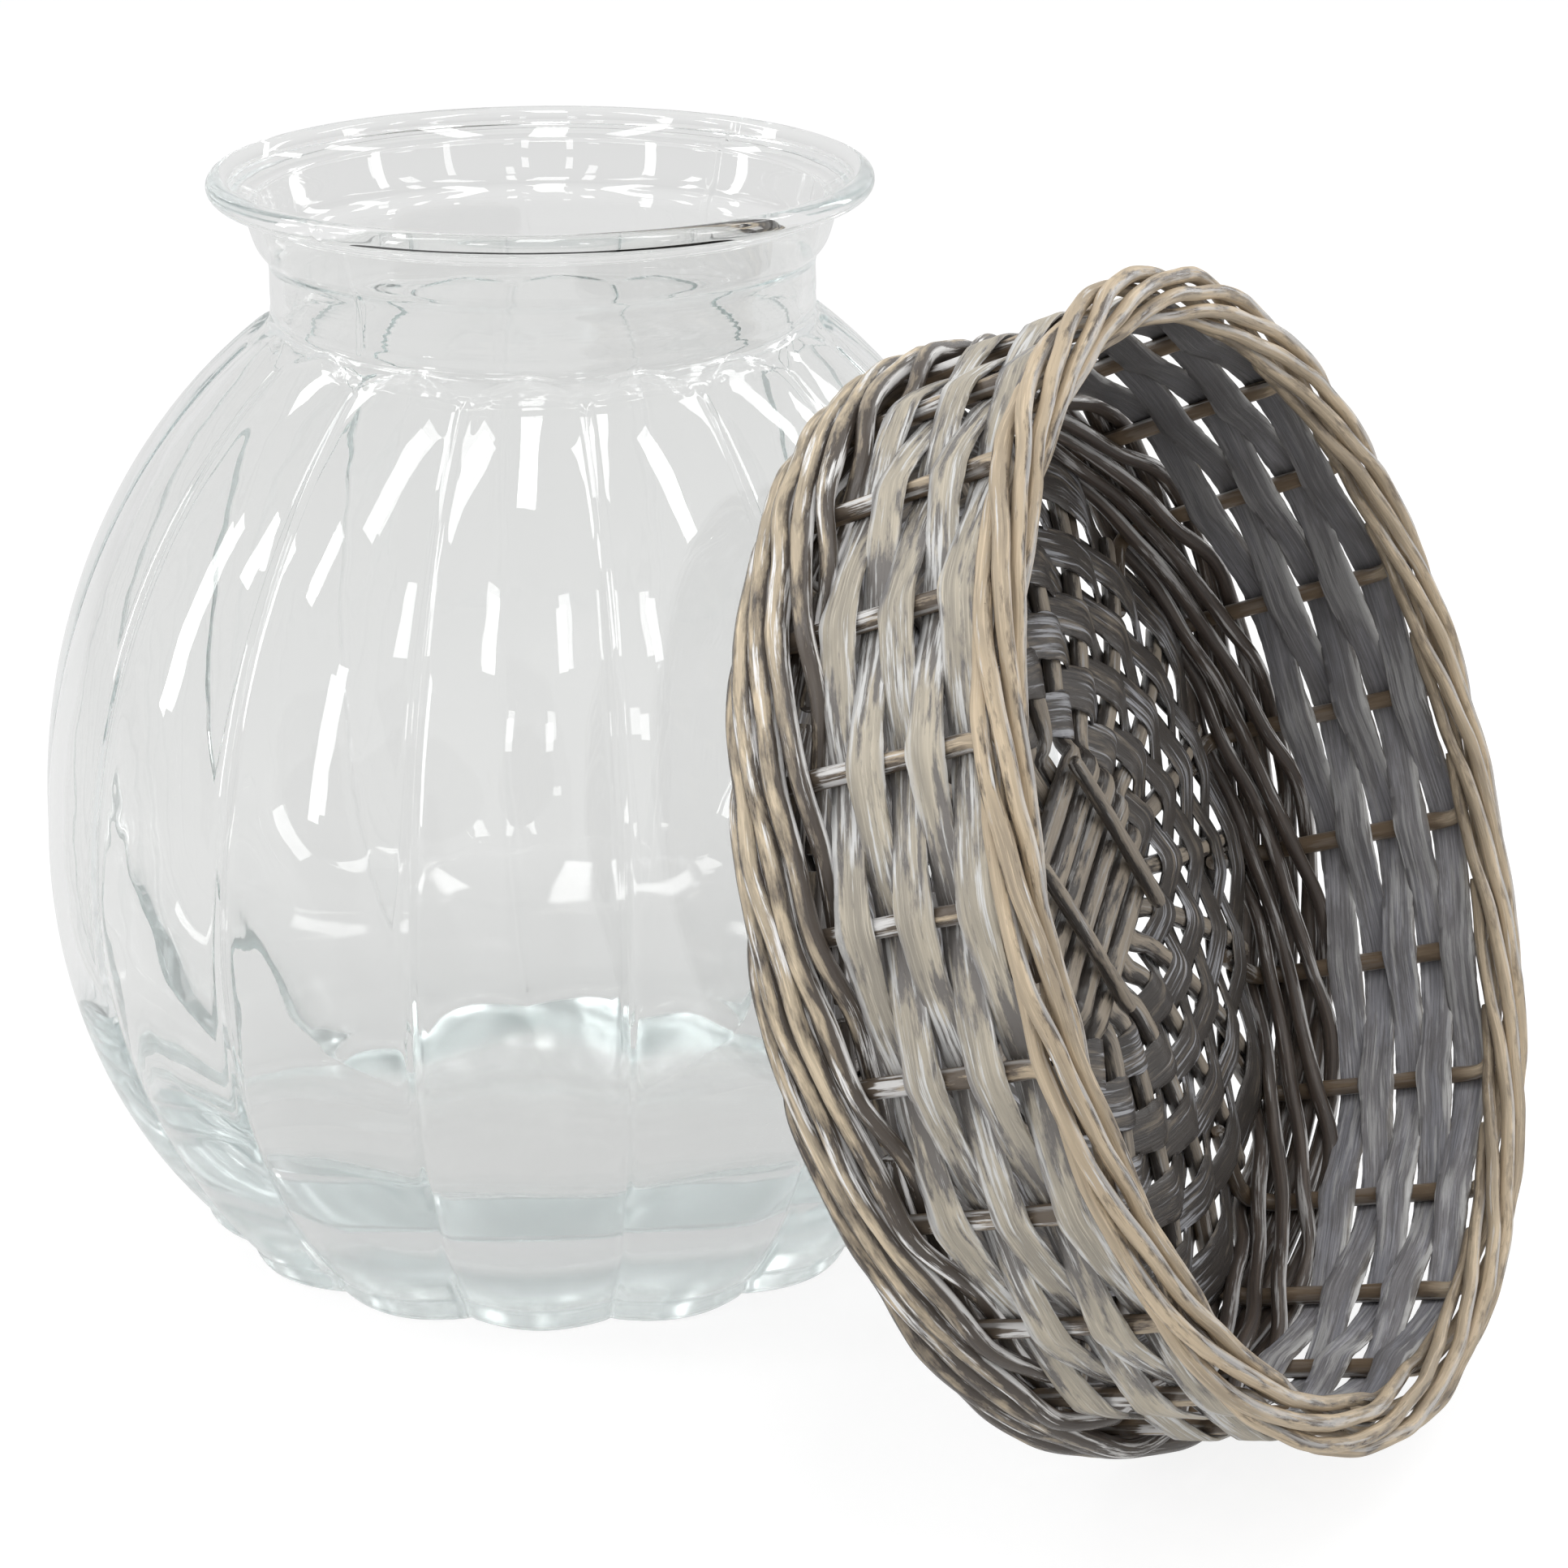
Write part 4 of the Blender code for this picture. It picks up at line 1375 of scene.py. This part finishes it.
    def stick_line(self, place: float, layer: int) -> np.ndarray:
        """Lead a base stick across the base, before the crossing is turned.

        Args:
            place: Place of the stick beside the middle of its layer, in sticks.
            layer: 1 for the upper layer, -1 for the lower one.

        Returns:
            Its middle line.
        """
        s = self.sizes
        span = s.base_radius - s.slath_radius
        radii = [s.slath_radius, s.settled] + [s.slath_radius + span * k / 3 for k in (1, 2, 3)]
        half = [(s.slath_half_length, place * s.slath_pitch, s.base_height(0.0), 1)]
        spoke = place * s.spacing
        for radius in radii:
            half.append((radius * math.cos(spoke), radius * math.sin(spoke),
                         float(s.base_height(radius)), int(radius <= s.slath_radius)))
        rows = np.array([(-x, y, z, crossed) for x, y, z, crossed in reversed(half)] + half,
                        dtype=float)
        rows[:, 2] += layer * rows[:, 3] * (s.stick_thickness + s.gap) / 2
        return smooth_path(rows[:, :3], self.step)

    def sticks(self) -> None:
        """Build the two crossed layers of base sticks."""
        s = self.sizes
        for layer, label, turn in ((1, "upper", 0.0), (-1, "lower", math.pi / 2)):
            angle = s.stick_turn + turn
            for index in range(s.sticks_per_layer):
                fine = self.stick_line(index - (s.sticks_per_layer - 1) / 2, layer)
                radii = np.hypot(fine[:, 0], fine[:, 1])
                fat = share_between(radii, s.settled, s.slath_radius)
                widths = s.stick_width + fat * (s.stick_width_middle - s.stick_width)
                widths = widths * (1 + 0.06 * np.cos(radii / s.slath_radius * 3 + index))
                across = self.turned(np.tile((0.0, 1.0, 0.0), (len(fine), 1)), angle)
                strand = Strand(f"slath_stick_{label}_{index + 1}", self.turned(fine, angle),
                                widths, np.full(len(fine), s.stick_thickness),
                                across=across, wash=np.full(len(fine), 0.6),
                                outer=np.tile((0.0, 0.0, 1.0), (len(fine), 1)),
                                seed=Seed.STICKS + index + 20 * layer)
                self.add(strand, f"base_stick_{label}_{index + 1}", self.base_sticks)

    def ties(self) -> None:
        """Build the two rods that bind the crossing of the base sticks."""
        s = self.sizes
        level = float(s.base_height(0.0)) + (s.stick_thickness + s.gap) / 2
        level += s.stick_thickness / 2 + s.gap + s.tie_rod / 2
        along = np.linspace(-s.tie_length / 2, s.tie_length / 2, 30)
        bow = 0.0006 * np.cos(np.pi * along / s.tie_length)
        even = np.ones_like(along)
        size = s.tie_rod * (1 - 0.1 * (along / s.tie_length + 0.5))
        for index, side in enumerate((-1, 1)):
            points = np.stack([side * s.tie_place + bow, along, level * even], axis=1)
            strand = Strand(f"slath_tie_rod_{index + 1}", self.turned(points, s.stick_turn),
                            size, size, wash=0.6 * even,
                            outer=np.outer(even, (0.0, 0.0, 1.0)), seed=Seed.TIES + index)
            self.add(strand, f"tie_rod_{index + 1}", self.base_sticks)

    def rounds(self) -> None:
        """Build the rounds of flat skein that fill the base."""
        s = self.sizes
        for row, radius in enumerate(np.linspace(s.first_round, s.last_round, s.rounds)):
            rng = np.random.default_rng(Seed.ROUND_PATHS + row)
            paired = radius + s.skein_width / 2 > s.stake_start
            first = -0.6 * s.stake / 2 / radius if paired else s.pair_angle
            middle = (first + s.pair_angle) / 2
            half = (s.pair_angle - first) / 2 + s.skein_rest * s.stick_width / radius
            slope = (s.base_height(radius + 0.001) - s.base_height(radius - 0.001)) / 0.002
            tilt = math.atan(slope)
            numbers = np.arange(s.stakes + 1)
            spokes = (numbers + (row + 1) % 2) * s.spacing + middle
            fine, swing = weave(spokes, np.where(numbers % 2, 1.0, -1.0), half, 20 * s.stakes,
                                s.skein_blend / radius)
            run = fine * radius
            extra = s.last_round_extra if row == s.rounds - 1 else 0.0
            out = radius - swing * s.skein_reach * math.sin(tilt)
            out = out + wander(run, rng, 0.06, 0.0003) + extra / 2
            points = polar(out, fine,
                           s.base_height(radius) + swing * s.skein_reach * math.cos(tilt))
            even = np.ones_like(fine)
            widths = s.skein_width * (s.skein_swell + s.skein_bulge * swing**2
                                      + wander(run, rng, 0.1, 0.05)) + extra
            strand = Strand(f"base_skein_round_{row + 1}", points, widths,
                            s.skein_thickness * even, Section.SPLIT,
                            across=polar(math.cos(tilt) * even, fine, math.sin(tilt)),
                            wash=np.clip(0.6 + wander(run, rng, 0.05, 0.4), 0, 1),
                            outer=polar(math.sin(tilt) * even, fine, -math.cos(tilt)),
                            seed=Seed.ROUNDS + row)
            self.add(strand, f"base_round_{row + 1}", self.base_skein)

    def build(self) -> None:
        """Build every strand of the basket."""
        for group in (self.stakes, self.foot, self.side, self.sticks, self.ties, self.rounds):
            group()


@dataclass(frozen=True)
class Softbox:
    """A softbox on a dome about the object, placed by angles in degrees.

    Attributes:
        turn: Turn from straight in front, counter-clockwise from above.
        low: Height of the lower edge above the horizon.
        high: Height of the upper edge above the horizon.
        width: Width.
        level: Brightness, as a share of the studio's softbox level.
    """

    turn: float
    low: float
    high: float
    width: float
    level: float = 1.0


@dataclass
class Studio:
    """Floor, light and camera of the plain studio.

    The floor glows to the camera, and to gloss and glass, and has one grey under that glow
    and another to light that spreads. The sky gains in gloss and glass, and gains enough to
    the camera to be plain white.
    """

    focal_pixels: float = 4753.6
    frame_pixels: float = 1932.0
    sensor: float = 36.0
    eye: tuple[float, float, float] = (0.0070, -0.980, 0.4794)
    pitch: float = math.radians(20.464)
    yaw: float = math.radians(-3.216)
    floor_level: float = -0.0004
    floor_half: float = 6.0
    floor_glow: tuple[float, float] = (0.86, 0.62)
    floor_grey: tuple[float, float] = (0.24, 0.8)
    sky: float = 0.54
    sky_in_glass: float = 0.28
    sky_seen: float = 0.46
    dome: float = 1.5
    dome_centre: tuple[float, float, float] = (0.03, 0.0, 0.15)
    softbox_level: float = 5.5
    softboxes: tuple[Softbox, ...] = (
        Softbox(-8, 60, 84, 8, 1.4), Softbox(-58, 46, 68, 7, 1.2), Softbox(50, 48, 70, 7, 1.4),
        Softbox(-118, 40, 60, 6, 1.3), Softbox(108, 40, 60, 6),
        Softbox(-24, 30, 43, 5, 1.2), Softbox(14, 31, 42, 3.5, 1.2), Softbox(-75, 28, 40, 5, 1.5),
        Softbox(62, 30, 43, 5, 1.2),
        Softbox(-12, 18, 23, 3), Softbox(6, 18, 22, 3), Softbox(40, 16, 24, 3),
        Softbox(-50, 2, 24, 5, 1.6), Softbox(-95, 4, 30, 5, 1.5), Softbox(75, 4, 26, 5, 1.3),
        Softbox(125, 5, 35, 6),
    )

    def camera(self) -> None:
        """Place the camera at the photograph's viewpoint."""
        lens = bpy.data.cameras.new("camera")
        lens.sensor_width = self.sensor
        lens.lens = self.focal_pixels * self.sensor / self.frame_pixels
        lens.clip_start = 0.01
        eye = bpy.data.objects.new("camera", lens)
        eye.location = self.eye
        eye.rotation_euler = (math.pi / 2 - self.pitch, 0, self.yaw)
        bpy.context.collection.objects.link(eye)
        bpy.context.scene.camera = eye

    def light_paths(self) -> None:
        """Let light go on through the many faces of thick glass instead of ending black."""
        cycles = bpy.context.scene.cycles
        cycles.glossy_bounces = 100
        cycles.transmission_bounces = 100
        cycles.max_bounces = 120

    def floor(self) -> None:
        """Lay the white floor, which keeps a soft shadow and shows in gloss and glass."""
        bm = bmesh.new()
        bmesh.ops.create_grid(bm, x_segments=1, y_segments=1, size=self.floor_half)
        bmesh.ops.translate(bm, verts=bm.verts, vec=(0, 0, self.floor_level))
        material, sheet = new_material("white_floor")
        to_camera, through = self.rays(sheet)
        matt, plain = (sheet.add("ShaderNodeBsdfDiffuse", {"Color": (grey, grey, grey, 1.0)})
                       for grey in self.floor_grey)
        strength = sheet.plus(sheet.times(to_camera, self.floor_glow[0]),
                              sheet.times(through, self.floor_glow[1]))
        glow = sheet.add("ShaderNodeEmission", {"Color": (1, 1, 1, 1), "Strength": strength})
        both = sheet.add("ShaderNodeAddShader", {0: matt.outputs[0], 1: glow.outputs[0]})
        seen = sheet.maths("MAXIMUM", to_camera, through)
        mixed = sheet.add("ShaderNodeMixShader", {0: seen, 1: plain.outputs[0],
                                                  2: both.outputs[0]})
        sheet.add("ShaderNodeOutputMaterial", {"Surface": mixed.outputs[0]})
        finished("studio_floor", bm, material)

    def rays(self, sheet: NodeSheet) -> tuple[object, object]:
        """Tell where a ray comes from.

        Args:
            sheet: Node sheet that the nodes go on.

        Returns:
            Outputs that are 1 for a ray from the camera, and for one from gloss or glass.
        """
        path = sheet.add("ShaderNodeLightPath").outputs
        through = sheet.maths("MAXIMUM", path["Is Glossy Ray"], path["Is Transmission Ray"])
        return path["Is Camera Ray"], through

    def world(self) -> None:
        """Surround the scene with even white light and show colours as they are."""
        bpy.context.scene.view_settings.view_transform = "Standard"
        world = bpy.data.worlds.new("studio")
        world.use_nodes = True
        bpy.context.scene.world = world
        sheet = NodeSheet(world.node_tree)
        to_camera, through = self.rays(sheet)
        strength = sheet.plus(sheet.times(through, self.sky_in_glass), self.sky)
        strength = sheet.plus(strength, sheet.times(to_camera, self.sky_seen))
        sky = sheet.add("ShaderNodeBackground", {"Color": (1, 1, 1, 1), "Strength": strength})
        sheet.add("ShaderNodeOutputWorld", {"Surface": sky.outputs[0]})

    def lamp(self, name: str, softbox: Softbox) -> None:
        """Hang a softbox on the dome, facing its centre.

        Args:
            name: Name of the lamp.
            softbox: Its place, size and brightness.
        """
        turn = math.radians(softbox.turn) - math.pi / 2
        rise = math.radians((softbox.low + softbox.high) / 2)
        away = Vector((math.cos(rise) * math.cos(turn), math.cos(rise) * math.sin(turn),
                       math.sin(rise)))
        light = bpy.data.lights.new(name, "AREA")
        light.shape = "RECTANGLE"
        light.size = self.dome * math.radians(softbox.width)
        light.size_y = self.dome * math.radians(softbox.high - softbox.low)
        light.energy = self.softbox_level * softbox.level * math.pi * light.size * light.size_y
        lamp = bpy.data.objects.new(name, light)
        lamp.location = Vector(self.dome_centre) + self.dome * away
        lamp.rotation_euler = away.to_track_quat("Z", "Y").to_euler()
        bpy.context.collection.objects.link(lamp)

    def build(self) -> None:
        """Set up the whole studio."""
        self.camera()
        self.light_paths()
        self.floor()
        self.world()
        for number, softbox in enumerate(self.softboxes):
            self.lamp(f"softbox_{number + 1}", softbox)


def main() -> None:
    """Build the studio, the vase and the basket."""
    logging.basicConfig(level=logging.INFO, format="%(message)s")
    Studio().build()
    Vase(VaseSizes()).build()
    Basket(BasketSizes()).build()


if __name__ == "__main__":
    main()
